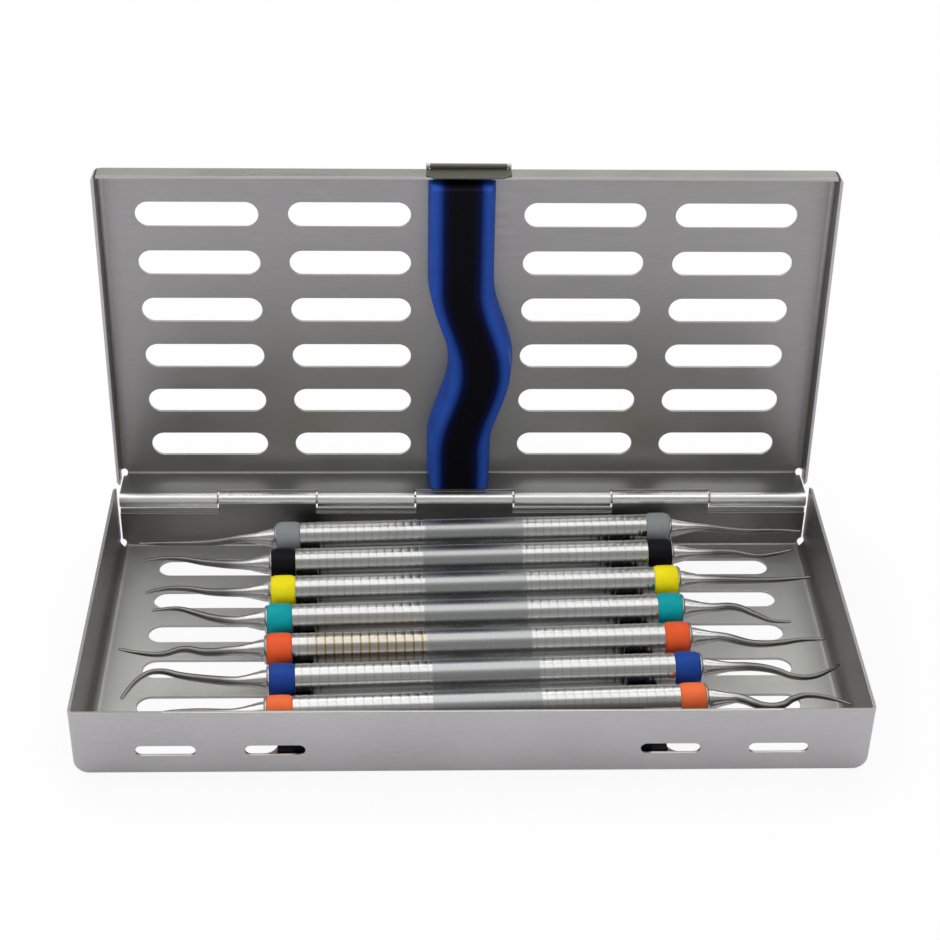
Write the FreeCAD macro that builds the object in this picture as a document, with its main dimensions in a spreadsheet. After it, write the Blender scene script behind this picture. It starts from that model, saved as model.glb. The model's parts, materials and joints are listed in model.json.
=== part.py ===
import FreeCAD, Part
import math
import os

import Sketcher
from FreeCAD import Placement, Rotation, Vector

# Driving sizes in millimetres, with angles in degrees and plain counts.
SIZES = {
    # Folded case
    "case_width": 180,
    "case_depth": 86.4,
    "base_height": 18.4,
    "lid_depth": 6.1,
    "rim_gap": 0.3,
    "sheet": 0.8,
    "base_side_bend": 3.5,
    "lid_side_bend": 2,
    "end_bend": 1.4,
    "corner_slit": 0.5,
    "relief_hole": 2.4,
    # Drain slots
    "slot_width": 6.5,
    "slot_rows": 6,
    "floor_slot_side": 10.8,
    "floor_slot_web": 7.2,
    "floor_slot_back": 9.8,
    "floor_slot_front": 8.5,
    "lid_slot_side": 8.35,
    "lid_slot_web": 7.2,
    "lid_slot_middle": 13.85,
    "lid_slot_back": 8.8,
    "lid_slot_front": 11.4,
    "front_slot_length": 13.5,
    "front_slot_width": 2.9,
    "front_slot_side": 14.25,
    "front_slot_past_rack": 0.3,
    "front_slot_height": 7.15,
    # Hinge
    "hinge_height": 13.85,
    "hinge_pin": 2.2,
    "pin_fit": 0.05,
    "knuckle_gap": 0.4,
    "knuckle_end_gap": 0.3,
    "base_edge_gap": 1,
    "leaf_low": 4,
    "leaf_gap": 0.2,
    "lid_edge_lap": 0.2,
    "lid_angle": 93.4,
    # Racks
    "rack_foot": 7.4,
    "rack_slot_cover": 0.6,
    "rack_blade": 3.7,
    "rack_foot_height": 4.4,
    "rack_finger_drop": 0.9,
    "rack_end_gap": 1,
    "rack_stagger": 3,
    "notch_fit": 0.3,
    "peg": 3,
    "peg_fit": 0.1,
    "peg_recess": 0.2,
    "rack_peg_end": 11.4,
    # Instruments
    "handle": 7.5,
    "handle_height": 10,
    "handle_back": 7.45,
    "handle_front": 10.57,
    "grip_half": 12.5,
    "grip_margin": 0.55,
    "groove_width": 0.6,
    "groove_depth": 0.15,
    "groove_count": 15,
    "ring_proud": 0.2,
    "ring_sink": 0.45,
    "ring_width": 6,
    "ring_fit": 0.03,
    "ring_edge": 0.8,
    "handle_lip": 0.6,
    "stem": 3,
    "stem_length": 8,
    "press_fit": 0.02,
    "cone_step": 1.25,
    "cone_length": 7,
    "neck": 2.3,
    "tip": 0.8,
    "end_reach": 34,
    "end_sway": 6,
    "tip_gap": 4.35,
    # Hold-down strip
    "strip_width": 16.5,
    "strip_crown": 14.4,
    "strip_gap": 0.3,
    "strip_end_gap": 0.65,
    "strip_offset": 1.5,
    "strip_bulge": 5.2,
    "strip_bulge_back": 36.5,
    "strip_bulge_half": 23,
    "strip_peg_end": 6.9,
    # Latch
    "latch_width": 18.6,
    "latch_sheet": 0.4,
    "latch_overhang": 1.6,
    "latch_pin": 0.6,
    "latch_gap": 0.1,
    "latch_drop": 1.6,
    "latch_corner": 2,
    "ear_gap": 0.15,
    # How far each instrument lies off centre along its own axis, from back to front
    "shift_one": 2.2,
    "shift_two": 1.5,
    "shift_three": 2,
    "shift_four": 1.7,
    "shift_five": 2.2,
    "shift_six": 3.4,
    "shift_seven": 3.4,
}
SHIFTS = [alias for alias in SIZES if alias.startswith("shift_")]

# Bends of the working ends: along as a share of the reach, and towards the back as a share of the sway.
LEFT_END_SHARES = (
    ((0.50, -0.27), (0.76, -0.25), (1.00, -0.17)),
    ((0.45, 0.20), (0.66, 0.53), (0.79, 0.57), (0.91, 0.47)),
    ((0.42, 0.08), (0.59, 0.33), (0.73, 0.37), (0.88, 0.15)),
    ((0.37, 0.23), (0.48, 0.53), (0.62, 0.88), (0.80, 0.82)),
    ((0.40, -0.05), (0.56, 0.17), (0.71, -0.10), (0.88, 0.05), (1.00, 0.30)),
    ((0.42, 0.20), (0.58, 0.43), (0.74, 0.73), (0.83, 0.57), (0.97, -0.80)),
    ((0.50, 0.15), (0.73, 0.03), (0.91, -0.42)),
)
RIGHT_END_SHARES = (
    ((0.56, -0.37), (0.76, -0.38), (0.99, -0.50)),
    ((0.45, -0.02), (0.63, -0.30), (0.76, -0.20), (0.90, 0.07)),
    ((0.57, -0.12), (0.76, -0.12), (0.98, 0.02)),
    ((0.38, 0.00), (0.52, -0.57), (0.61, -0.93), (0.74, -1.03)),
    ((0.45, -0.50), (0.64, -0.47), (0.76, -0.35), (0.94, -0.32)),
    ((0.39, -0.07), (0.52, -0.33), (0.62, -0.68), (0.76, -0.73), (0.96, -0.08)),
    ((0.39, -0.53), (0.50, -0.47), (0.59, -0.13), (0.70, 0.03), (0.97, -0.53)),
)
BASE_KNUCKLES = 3
LID_KNUCKLES = 4
END_SECTIONS = 14
STRIP_STATIONS = 13
# Two places count as one when they lie closer than this share of the sheet's thickness.
MATCH_SHARE = 0.05

doc = FreeCAD.newDocument("instrument_cassette")
sheet = doc.addObject("Spreadsheet::Sheet", "Sizes")
for row, (alias, value) in enumerate(SIZES.items(), start=1):
    sheet.set(f"A{row}", alias)
    sheet.set(f"B{row}", str(value))
    sheet.setAlias(f"B{row}", alias)
doc.recompute()

# Lengths that follow from the driving sizes, as expressions on the sheet.
HALF_WIDTH = "Sizes.case_width / 2"
HALF_DEPTH = "Sizes.case_depth / 2"
BARREL = "(Sizes.hinge_pin / 2 + Sizes.pin_fit + Sizes.sheet)"
BORE = "(Sizes.hinge_pin / 2 + Sizes.pin_fit)"
AXIS_Y = f"({HALF_DEPTH} - Sizes.sheet + {BARREL})"
AXIS_Z = "Sizes.hinge_height"
LID_RIM = "(Sizes.base_height + Sizes.rim_gap - Sizes.hinge_height)"
LID_TOP = f"({LID_RIM} + Sizes.lid_depth)"
LID_FRONT = f"(-{HALF_DEPTH} - {AXIS_Y})"
LID_BACK = f"({HALF_DEPTH} - {AXIS_Y})"
WALL_END = f"({HALF_WIDTH} - Sizes.sheet - Sizes.corner_slit)"
OVERRUN = "Sizes.sheet"
KNUCKLE_ROOM = "(Sizes.case_width - 2 * Sizes.sheet - 2 * Sizes.knuckle_end_gap)"
KNUCKLE_PITCH = f"({KNUCKLE_ROOM} / {BASE_KNUCKLES + LID_KNUCKLES})"
FLOOR_ROOM = "(Sizes.case_width - 2 * Sizes.sheet - 2 * Sizes.floor_slot_side)"
FLOOR_SLOT = f"(({FLOOR_ROOM} - 3 * Sizes.floor_slot_web) / 4)"
FLOOR_INNER = f"(({FLOOR_SLOT} + Sizes.floor_slot_web) / 2)"
LID_ROOM = f"({HALF_WIDTH} - Sizes.sheet - Sizes.lid_slot_side - Sizes.lid_slot_middle)"
LID_SLOT = f"(({LID_ROOM} - Sizes.lid_slot_web) / 2)"
LID_INNER = f"(Sizes.lid_slot_middle + {LID_SLOT} / 2)"
HANDLE_END = f"({HALF_WIDTH} - Sizes.sheet - Sizes.tip_gap - Sizes.end_reach)"
RING_CENTRE = f"({HANDLE_END} - Sizes.handle_lip - Sizes.ring_width / 2)"
RING_INNER = f"({RING_CENTRE} - Sizes.ring_width / 2)"
RING_SEAT = "(Sizes.handle / 2 - Sizes.ring_sink)"
GROOVE_PITCH = f"(({RING_INNER} - Sizes.grip_half - Sizes.grip_margin) / Sizes.groove_count)"
LATCH_EYE = "(Sizes.latch_pin / 2 + Sizes.pin_fit + Sizes.latch_sheet)"
EYE_Y = f"({LID_FRONT} - Sizes.latch_gap - {LATCH_EYE})"
EYE_Z = f"({LID_TOP} - Sizes.latch_drop)"

nodes = []


def number(expression):
    """The value that an expression on the sheet has now."""
    return float(sheet.evalExpression(expression.replace("Sizes.", "")))


def keep(node, label):
    """Name a finished sub-part, which its file is named after."""
    node.Label = label
    nodes.append(node)
    return node


def new_body(label):
    return keep(doc.addObject("PartDesign::Body", label), label)


def origin_of(body, role):
    return next(f for f in body.Origin.OriginFeatures if f.Role == role)


def sketch_on(body, name, role, lift="0"):
    """A sketch on one of the body's own planes, lifted along that plane's normal."""
    sketch = body.newObject("Sketcher::SketchObject", name)
    sketch.AttachmentSupport = [(origin_of(body, role), "")]
    sketch.MapMode = "FlatFace"
    sketch.setExpression("AttachmentOffset.Base.z", lift)
    return sketch


def bind(sketch, kind, *where):
    """Add a dimension whose value, the last item, is an expression on the sheet."""
    *refs, expression = where
    index = sketch.addConstraint(Sketcher.Constraint(kind, *refs, number(expression)))
    sketch.setExpression(f"Constraints[{index}]", expression)


def place(sketch, geometry, point, x, y):
    """Hold one point of a sketch's geometry at a place given by two expressions."""
    for kind, axis, value in (("DistanceX", -2, x), ("DistanceY", -1, y)):
        if value == "0":
            sketch.addConstraint(Sketcher.Constraint("PointOnObject", geometry, point, axis))
        else:
            bind(sketch, kind, -1, 1, geometry, point, value)


def polygon(sketch, points):
    """A closed outline of straight lines through places given as pairs of expressions."""
    spots = [Vector(number(x), number(y), 0) for x, y in points]
    count = len(points)
    first = sketch.GeometryCount
    for i in range(count):
        sketch.addGeometry(Part.LineSegment(spots[i], spots[(i + 1) % count]))
    for i, (x, y) in enumerate(points):
        sketch.addConstraint(Sketcher.Constraint("Coincident", first + i, 2, first + (i + 1) % count, 1))
        place(sketch, first + i, 1, x, y)


def rectangle(sketch, x_low, x_high, y_low, y_high):
    polygon(sketch, [(x_low, y_low), (x_high, y_low), (x_high, y_high), (x_low, y_high)])


def circle(sketch, x, y, radius):
    spot = Vector(number(x), number(y), 0)
    index = sketch.addGeometry(Part.Circle(spot, Vector(0, 0, 1), number(radius)))
    place(sketch, index, 3, x, y)
    bind(sketch, "Radius", index, radius)


def obround(sketch, x, y, length, width, upright=False):
    """A slot with round ends about the place x, y."""
    middle = Vector(number(x), number(y), 0)
    radius = number(width) / 2
    along = Vector(0, 1, 0) if upright else Vector(1, 0, 0)
    across = Vector(-along.y, along.x, 0) * radius
    reach = along * (number(length) / 2 - radius)
    turn = math.atan2(along.y, along.x)
    first = sketch.GeometryCount
    sketch.addGeometry(Part.LineSegment(middle - reach - across, middle + reach - across))
    for end, start in ((reach, turn - math.pi / 2), (-reach, turn + math.pi / 2)):
        round_end = Part.Circle(middle + end, Vector(0, 0, 1), radius)
        sketch.addGeometry(Part.ArcOfCircle(round_end, start, start + math.pi))
    sketch.addGeometry(Part.LineSegment(middle + reach + across, middle - reach + across))
    low, far, near, high = range(first, first + 4)
    for a, a_end, b, b_end in ((low, 2, far, 1), (far, 2, high, 1), (high, 2, near, 1), (near, 2, low, 1)):
        sketch.addConstraint(Sketcher.Constraint("Tangent", a, a_end, b, b_end))
    bind(sketch, "Radius", far, f"{width} / 2")
    half = f"({length} - {width}) / 2"
    if upright:
        place(sketch, far, 3, x, f"{y} + {half}")
        place(sketch, near, 3, x, f"{y} - {half}")
    else:
        place(sketch, far, 3, f"{x} + {half}", y)
        place(sketch, near, 3, f"{x} - {half}", y)


def pad(body, sketch, length, midplane=False, reverse=False):
    feature = body.newObject("PartDesign::Pad", sketch.Name + "_pad")
    feature.Profile = sketch
    feature.setExpression("Length", length)
    feature.Midplane = midplane
    feature.Reversed = reverse
    return feature


def pocket(body, sketch, length, midplane=False, reverse=False):
    """A cut that has to take material away."""
    doc.recompute()
    before = body.Shape.Volume
    feature = body.newObject("PartDesign::Pocket", sketch.Name + "_pocket")
    feature.Profile = sketch
    feature.setExpression("Length", length)
    feature.Midplane = midplane
    feature.Reversed = reverse
    doc.recompute()
    if body.Shape.Volume >= before:
        raise RuntimeError(f"{feature.Name} cut nothing")
    return feature


def pattern(body, features, axis, length, count):
    """Copies of features, evenly spread along one of the body's axes."""
    feature = body.newObject("PartDesign::LinearPattern", features[0].Name + "_row")
    feature.Originals = features
    feature.Direction = (origin_of(body, axis), [""])
    feature.setExpression("Length", length)
    feature.setExpression("Occurrences", count)
    body.Tip = feature
    return feature


def revolve(body, sketch):
    """Turn a sketch round the body's X axis."""
    feature = body.newObject("PartDesign::Revolution", sketch.Name + "_turned")
    feature.Profile = sketch
    feature.ReferenceAxis = (sketch, ["H_Axis"])
    return feature


def fillet(body, base, radius, chosen):
    """Round the edges of a feature whose centre passes the test."""
    doc.recompute()
    names = [f"Edge{i}" for i, edge in enumerate(base.Shape.Edges, start=1) if chosen(edge)]
    feature = body.newObject("PartDesign::Fillet", base.Name + "_fillet")
    feature.Base = (base, names)
    feature.setExpression("Radius", radius)
    return feature


def near(value, target):
    return abs(value - target) < MATCH_SHARE * number("Sizes.sheet")


def folded_pan(body, y_front, y_back, z_open, z_panel, side_bend):
    """A shallow sheet pan with round bends, open on the side away from its panel."""
    outline = sketch_on(body, body.Name + "_outline", "XY_Plane", z_open)
    rectangle(outline, f"-{HALF_WIDTH}", HALF_WIDTH, y_front, y_back)
    rise = f"({z_panel}) - ({z_open})"
    downward = number(rise) < 0
    block = pad(body, outline, f"abs({rise})", reverse=downward)
    panel, front, back = number(z_panel), number(y_front), number(y_back)

    def side_edge(edge):
        spot = edge.CenterOfMass
        return near(spot.z, panel) and near(abs(spot.x), number(HALF_WIDTH))

    def end_edge(edge):
        box = edge.BoundBox
        return near(box.YLength, 0) and not near(edge.CenterOfMass.z, number(z_open)) and (
            near(box.YMin, front) or near(box.YMin, back)
        )

    sides = fillet(body, block, side_bend, side_edge)
    ends = fillet(body, sides, "Sizes.end_bend", end_edge)
    doc.recompute()
    opening = [
        f"Face{i}"
        for i, face in enumerate(ends.Shape.Faces, start=1)
        if near(face.BoundBox.ZLength, 0) and near(face.CenterOfMass.z, number(z_open))
    ]
    shell = body.newObject("PartDesign::Thickness", body.Name + "_shell")
    shell.Base = (ends, opening)
    shell.setExpression("Value", "Sizes.sheet")
    shell.Reversed = True
    return shell


def slot_rows(body, name, lift, y_front, y_back, length, inner, web):
    """Rows of four drain slots through a panel, spread evenly from the front row to the back row."""
    row = sketch_on(body, name, "XY_Plane", lift)
    outer = f"({inner} + {length} + {web})"
    for x in (f"-{outer}", f"-{inner}", inner, outer):
        obround(row, x, y_front, length, "Sizes.slot_width")
    cut = pocket(body, row, f"2 * {OVERRUN}", midplane=True)
    pattern(body, [cut], "Y_Axis", f"{y_back} - ({y_front})", "Sizes.slot_rows")


def knuckles(body, name, y_axis, z_axis, z_root, count):
    """Leaves rolled into a barrel, every second knuckle of the hinge."""
    start = f"{1 - count} * {KNUCKLE_PITCH}"
    width = f"{KNUCKLE_PITCH} - Sizes.knuckle_gap"
    leaf = sketch_on(body, name + "_leaf", "YZ_Plane", start)
    low, high = sorted((z_axis, z_root), key=number)
    rectangle(leaf, f"{y_axis} - {BARREL}", f"{y_axis} - {BARREL} + Sizes.sheet", low, high)
    barrel = sketch_on(body, name + "_barrel", "YZ_Plane", start)
    circle(barrel, y_axis, z_axis, BARREL)
    pads = [pad(body, leaf, width, midplane=True), pad(body, barrel, width, midplane=True)]
    pattern(body, pads, "X_Axis", f"{2 * (count - 1)} * {KNUCKLE_PITCH}", str(count))
    bore = sketch_on(body, name + "_bore", "YZ_Plane")
    circle(bore, y_axis, z_axis, BORE)
    pocket(body, bore, "Sizes.case_width", midplane=True)


def slit_pair(sketch, z_low, z_high):
    """Outlines of the slits that part an end wall from the two side walls."""
    for side in ("-1", "1"):
        edges = sorted((f"{side} * ({HALF_WIDTH} - Sizes.sheet)", f"{side} * {WALL_END}"), key=number)
        rectangle(sketch, *edges, z_low, z_high)


def corner_reliefs(body, name, y_wall, z_low, z_high, hole_plane, hole_lift, hole_place):
    """Slits beside the back wall, each ending in a round relief hole."""
    slits = sketch_on(body, name + "_slit", "XZ_Plane", f"-({y_wall})")
    slit_pair(slits, z_low, z_high)
    holes = sketch_on(body, name + "_hole", hole_plane, hole_lift)
    for side in ("-1", "1"):
        circle(holes, f"{side} * ({WALL_END} + Sizes.corner_slit / 2)", hole_place, "Sizes.relief_hole / 2")
    for sketch in (slits, holes):
        pocket(body, sketch, f"2 * (Sizes.end_bend + {OVERRUN})", midplane=True)


def lid_placement():
    """The lid stands open about the hinge's axis."""
    turn = Rotation(Vector(1, 0, 0), -number("Sizes.lid_angle"))
    return Placement(Vector(0, number(AXIS_Y), number(AXIS_Z)), turn)


def make_base_tray():
    body = new_body("base_tray")
    folded_pan(body, f"-{HALF_DEPTH}", HALF_DEPTH, "Sizes.base_height", "0", "Sizes.base_side_bend")
    back_edge = f"{AXIS_Z} - {BARREL} - Sizes.base_edge_gap"
    # The back wall stops below the barrel, between the side walls.
    cut_back = sketch_on(body, "back_edge", "XZ_Plane", f"-({HALF_DEPTH})")
    inner = f"({HALF_WIDTH} - Sizes.sheet)"
    rectangle(cut_back, f"-{inner}", inner, back_edge, f"Sizes.base_height + {OVERRUN}")
    pocket(body, cut_back, f"2 * (Sizes.end_bend + {OVERRUN})", midplane=True)
    corner_reliefs(
        body, "base_corner", HALF_DEPTH, "Sizes.relief_hole / 2", back_edge + f" + {OVERRUN}",
        "XZ_Plane", f"-({HALF_DEPTH})", "Sizes.relief_hole / 2 + Sizes.sheet / 2",
    )
    slot_rows(
        body, "floor_slots", "0", f"-{HALF_DEPTH} + Sizes.sheet + Sizes.floor_slot_front",
        f"{HALF_DEPTH} - Sizes.sheet - Sizes.floor_slot_back",
        FLOOR_SLOT, FLOOR_INNER, "Sizes.floor_slot_web",
    )
    front = sketch_on(body, "front_slots", "XZ_Plane", HALF_DEPTH)
    beside_rack = f"({RACK_OUTER} + Sizes.front_slot_past_rack)"
    beside_wall = f"({HALF_WIDTH} - Sizes.front_slot_side - Sizes.front_slot_length / 2)"
    for side in ("-", ""):
        for x in (beside_rack, beside_wall):
            height = "Sizes.front_slot_height"
            obround(front, side + x, height, "Sizes.front_slot_length", "Sizes.front_slot_width")
    pocket(body, front, f"2 * {OVERRUN}", midplane=True)
    pegs = sketch_on(body, "rack_peg_holes", "XY_Plane")
    for x in RACK_PEG_X:
        for y in RACK_PEG_Y:
            circle(pegs, x, y, "Sizes.peg / 2 + Sizes.peg_fit")
    pocket(body, pegs, f"2 * {OVERRUN}", midplane=True)
    # The hinge's leaf lies on the outside of the back wall and ends just below the barrel.
    leaf = sketch_on(body, "hinge_leaf", "XZ_Plane", f"-({HALF_DEPTH} + Sizes.sheet / 2)")
    rectangle(leaf, f"-{WALL_END}", WALL_END, "Sizes.leaf_low", f"{AXIS_Z} - {BARREL} - Sizes.leaf_gap")
    pad(body, leaf, "Sizes.sheet", midplane=True)
    knuckles(body, "base_knuckle", AXIS_Y, AXIS_Z, back_edge, BASE_KNUCKLES)
    return body


def make_lid_pan():
    """The lid in its own frame, closed, with the hinge's axis through the origin."""
    body = new_body("lid_pan")
    folded_pan(body, LID_FRONT, LID_BACK, LID_RIM, LID_TOP, "Sizes.lid_side_bend")
    # The rear flange runs on down to the barrel, between the corner slits.
    flange = sketch_on(body, "rear_flange", "XZ_Plane", f"{BARREL} - Sizes.sheet / 2")
    edge = f"{BARREL} - Sizes.lid_edge_lap"
    rectangle(flange, f"-{WALL_END}", WALL_END, edge, f"{LID_TOP} - Sizes.end_bend")
    pad(body, flange, "Sizes.sheet", midplane=True)
    corner_reliefs(
        body, "lid_corner", LID_BACK, edge, f"{LID_TOP} - Sizes.sheet",
        "XY_Plane", LID_TOP, f"{LID_BACK} + Sizes.end_bend - Sizes.relief_hole",
    )
    slot_rows(
        body, "lid_slots", LID_TOP, f"{LID_FRONT} + Sizes.sheet + Sizes.lid_slot_front",
        f"{LID_BACK} - Sizes.sheet - Sizes.lid_slot_back", LID_SLOT, LID_INNER, "Sizes.lid_slot_web",
    )
    # The front flange stops short of the side flanges.
    gaps = sketch_on(body, "front_corner_gap", "XZ_Plane", f"-({LID_FRONT})")
    slit_pair(gaps, f"{LID_RIM} - {OVERRUN}", f"{LID_TOP} - Sizes.end_bend")
    pocket(body, gaps, f"2 * (Sizes.end_bend + {OVERRUN})", midplane=True)
    pegs = sketch_on(body, "strip_peg_holes", "XY_Plane", LID_TOP)
    for y in STRIP_PEG_Y:
        circle(pegs, STRIP_X, y, "Sizes.peg / 2 + Sizes.peg_fit")
    pocket(body, pegs, f"2 * {OVERRUN}", midplane=True)
    # Two round ears stand out of the front flange and carry the latch's pin.
    for side in ("-1", "1"):
        middle = f"{side} * (Sizes.latch_width / 2 + Sizes.ear_gap + Sizes.sheet / 2)"
        for name, draw in (("ear_root", ear_root), ("ear_round", ear_round)):
            ear = sketch_on(body, name, "YZ_Plane", middle)
            draw(ear)
            pad(body, ear, "Sizes.sheet", midplane=True)
    eye = sketch_on(body, "ear_holes", "YZ_Plane")
    circle(eye, EYE_Y, EYE_Z, "Sizes.latch_pin / 2 + Sizes.press_fit")
    pocket(body, eye, "2 * Sizes.latch_width", midplane=True)
    knuckles(body, "lid_knuckle", "0", "0", edge + " + Sizes.sheet", LID_KNUCKLES)
    body.Placement = lid_placement()
    return body


def ear_root(sketch):
    low, high = (f"{EYE_Z} {sign} {LATCH_EYE}" for sign in "-+")
    rectangle(sketch, EYE_Y, f"{LID_FRONT} + Sizes.sheet / 2", low, high)


def ear_round(sketch):
    circle(sketch, EYE_Y, EYE_Z, LATCH_EYE)


def cylinder(label, radius, length, middle, turned=None):
    """A round pin along X about the place middle, in the turned frame if there is one."""
    pin = doc.addObject("Part::Cylinder", label)
    pin.setExpression("Radius", radius)
    pin.setExpression("Height", length)
    x, y, z = (number(v) for v in middle)
    own = Placement(Vector(x - number(length) / 2, y, z), Rotation(Vector(0, 1, 0), 90))
    pin.Placement = turned.multiply(own) if turned else own
    return keep(pin, label)


def make_latch_flap():
    """A plate hanging from a rolled eye, over the outside of the lid's front flange."""
    body = new_body("latch_flap")
    plate = sketch_on(body, "flap_plate", "XZ_Plane", f"-({EYE_Y} + {LATCH_EYE} - Sizes.latch_sheet / 2)")
    half, low = "Sizes.latch_width / 2", f"({LID_RIM} - Sizes.latch_overhang)"
    corner = "Sizes.latch_corner"
    # Below its eye the plate widens to the outer faces of the ears.
    wide = "(Sizes.latch_width / 2 + Sizes.ear_gap + Sizes.sheet)"
    step = f"({EYE_Z} - {LATCH_EYE} - Sizes.ear_gap)"
    polygon(plate, [
        (f"-{half}", EYE_Z), (f"-{half}", step), (f"-{wide}", step), (f"-{wide}", f"{low} + {corner}"),
        (f"-{wide} + {corner}", low), (f"{wide} - {corner}", low), (wide, f"{low} + {corner}"),
        (wide, step), (half, step), (half, EYE_Z),
    ])
    pad(body, plate, "Sizes.latch_sheet", midplane=True)
    eye = sketch_on(body, "flap_eye", "YZ_Plane")
    circle(eye, EYE_Y, EYE_Z, LATCH_EYE)
    pad(body, eye, "Sizes.latch_width", midplane=True)
    bore = sketch_on(body, "flap_bore", "YZ_Plane")
    circle(bore, EYE_Y, EYE_Z, "Sizes.latch_pin / 2 + Sizes.pin_fit")
    pocket(body, bore, "2 * Sizes.latch_width", midplane=True)
    body.Placement = lid_placement()
    return body


RACK_INNER = f"({FLOOR_INNER} + {FLOOR_SLOT} / 2 - Sizes.rack_slot_cover)"
RACK_OUTER = f"({RACK_INNER} + Sizes.rack_foot)"
RACK_END = f"({HALF_DEPTH} - Sizes.sheet - Sizes.rack_end_gap)"
BLADE_X = f"({RACK_INNER} + Sizes.rack_blade / 2)"
RACK_PEG_X = [f"{side} * ({RACK_OUTER} - Sizes.rack_foot / 2)" for side in ("-1", "1")]
RACK_PEG_Y = [f"{side} * ({RACK_END} - Sizes.rack_peg_end)" for side in ("-1", "1")]
FIRST_Y = f"({HALF_DEPTH} - Sizes.sheet - Sizes.handle_back)"
LAST_Y = f"(-{HALF_DEPTH} + Sizes.sheet + Sizes.handle_front)"
STRIP_X = "-Sizes.strip_offset"
STRIP_BACK = f"({LID_BACK} - Sizes.sheet - Sizes.strip_end_gap)"
STRIP_FRONT = f"({LID_FRONT} + Sizes.sheet + Sizes.strip_end_gap)"
STRIP_PEG_Y = [f"{STRIP_BACK} - Sizes.strip_peg_end", f"{STRIP_FRONT} + Sizes.strip_peg_end"]


def make_rack(side, name):
    """A notched silicone rail with a broad foot, plugged into the floor."""
    body = new_body(name)
    # The fingers end below the handles' axes, so the handles hide them from the front.
    top = "Sizes.handle_height - Sizes.rack_finger_drop"
    for part, width, base, height in (
        ("foot", "Sizes.rack_foot", "Sizes.sheet", "Sizes.rack_foot_height"),
        ("blade", "Sizes.rack_blade", "Sizes.sheet", f"{top} - Sizes.sheet"),
    ):
        outline = sketch_on(body, f"{name}_{part}", "XY_Plane", base)
        edges = sorted((f"{side} * {RACK_INNER}", f"{side} * ({RACK_INNER} + {width})"), key=number)
        rectangle(outline, *edges, f"-{RACK_END}", RACK_END)
        pad(body, outline, height)
    pegs = sketch_on(body, name + "_pegs", "XY_Plane", "Sizes.sheet")
    for y in RACK_PEG_Y:
        circle(pegs, f"{side} * ({RACK_OUTER} - Sizes.rack_foot / 2)", y, "Sizes.peg / 2")
    pad(body, pegs, "Sizes.sheet - Sizes.peg_recess", reverse=True)
    notch = sketch_on(body, name + "_notch", "YZ_Plane", f"{side} * {BLADE_X}")
    width = "(Sizes.handle + 2 * Sizes.notch_fit)"
    tall = f"({width} + 2 * {width})"
    obround(
        notch, f"{LAST_Y} + {side} * Sizes.rack_stagger / 2",
        f"Sizes.handle_height - {width} / 2 + {tall} / 2", tall, width, upright=True,
    )
    cut = pocket(body, notch, "2 * Sizes.rack_foot", midplane=True)
    pattern(body, [cut], "Y_Axis", f"{FIRST_Y} - {LAST_Y}", str(len(SHIFTS)))
    return body


def strip_outline(half, height):
    """The hold-down strip's closed outline in one plane, with the S-bend's raised cosine."""
    back, front = number(STRIP_BACK), number(STRIP_FRONT)
    middle, bulge, reach = (number(f"Sizes.strip_bulge{end}") for end in ("_back", "", "_half"))
    sides = ([], [])
    for i in range(STRIP_STATIONS):
        y = back + (front - back) * i / (STRIP_STATIONS - 1)
        share = min(abs(-y - middle) / reach, 1)
        centre = number(STRIP_X) + bulge * (1 + math.cos(math.pi * share)) / 2
        sides[0].append(Vector(centre - half, y, height))
        sides[1].append(Vector(centre + half, y, height))
    edges = []
    for side in sides:
        curve = Part.BSplineCurve()
        curve.interpolate(side)
        edges.append(curve.toShape())
    caps = [Part.makeLine(sides[0][k], sides[1][k]) for k in (0, -1)]
    return Part.Wire([edges[0], caps[1], edges[1], caps[0]])


def make_wave_strip():
    """A tapered silicone strip that bends sideways once, with pegs in the lid's panel."""
    root = number(f"{LID_TOP} - Sizes.sheet")
    crown = number(f"Sizes.handle_height + Sizes.handle / 2 + Sizes.strip_gap - {AXIS_Z}")
    wires = [
        strip_outline(number("Sizes.strip_width / 2"), root),
        strip_outline(number("Sizes.strip_crown / 2"), crown),
    ]
    shape = Part.makeLoft(wires, True, True)
    peg, deep = number("Sizes.peg / 2"), number("Sizes.sheet - Sizes.peg_recess")
    for y in STRIP_PEG_Y:
        shape = shape.fuse(Part.makeCylinder(peg, deep, Vector(number(STRIP_X), number(y), root)))
    strip = doc.addObject("Part::Feature", "wave_strip")
    strip.Shape = shape.removeSplitter()
    strip.Placement = lid_placement()
    return keep(strip, "wave_strip")


def instrument_placement(index):
    """An instrument lies in its two notches, turned a little by their stagger."""
    yaw = math.atan2(number("Sizes.rack_stagger"), number(f"2 * {BLADE_X}"))
    turn = Rotation(Vector(0, 0, 1), math.degrees(yaw))
    spread = index / (len(SHIFTS) - 1)
    seat = Vector(0, number(f"{FIRST_Y} + ({LAST_Y} - {FIRST_Y}) * {spread}"), number("Sizes.handle_height"))
    return Placement(seat + turn.multVec(Vector(number("Sizes." + SHIFTS[index]), 0, 0)), turn)


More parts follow.
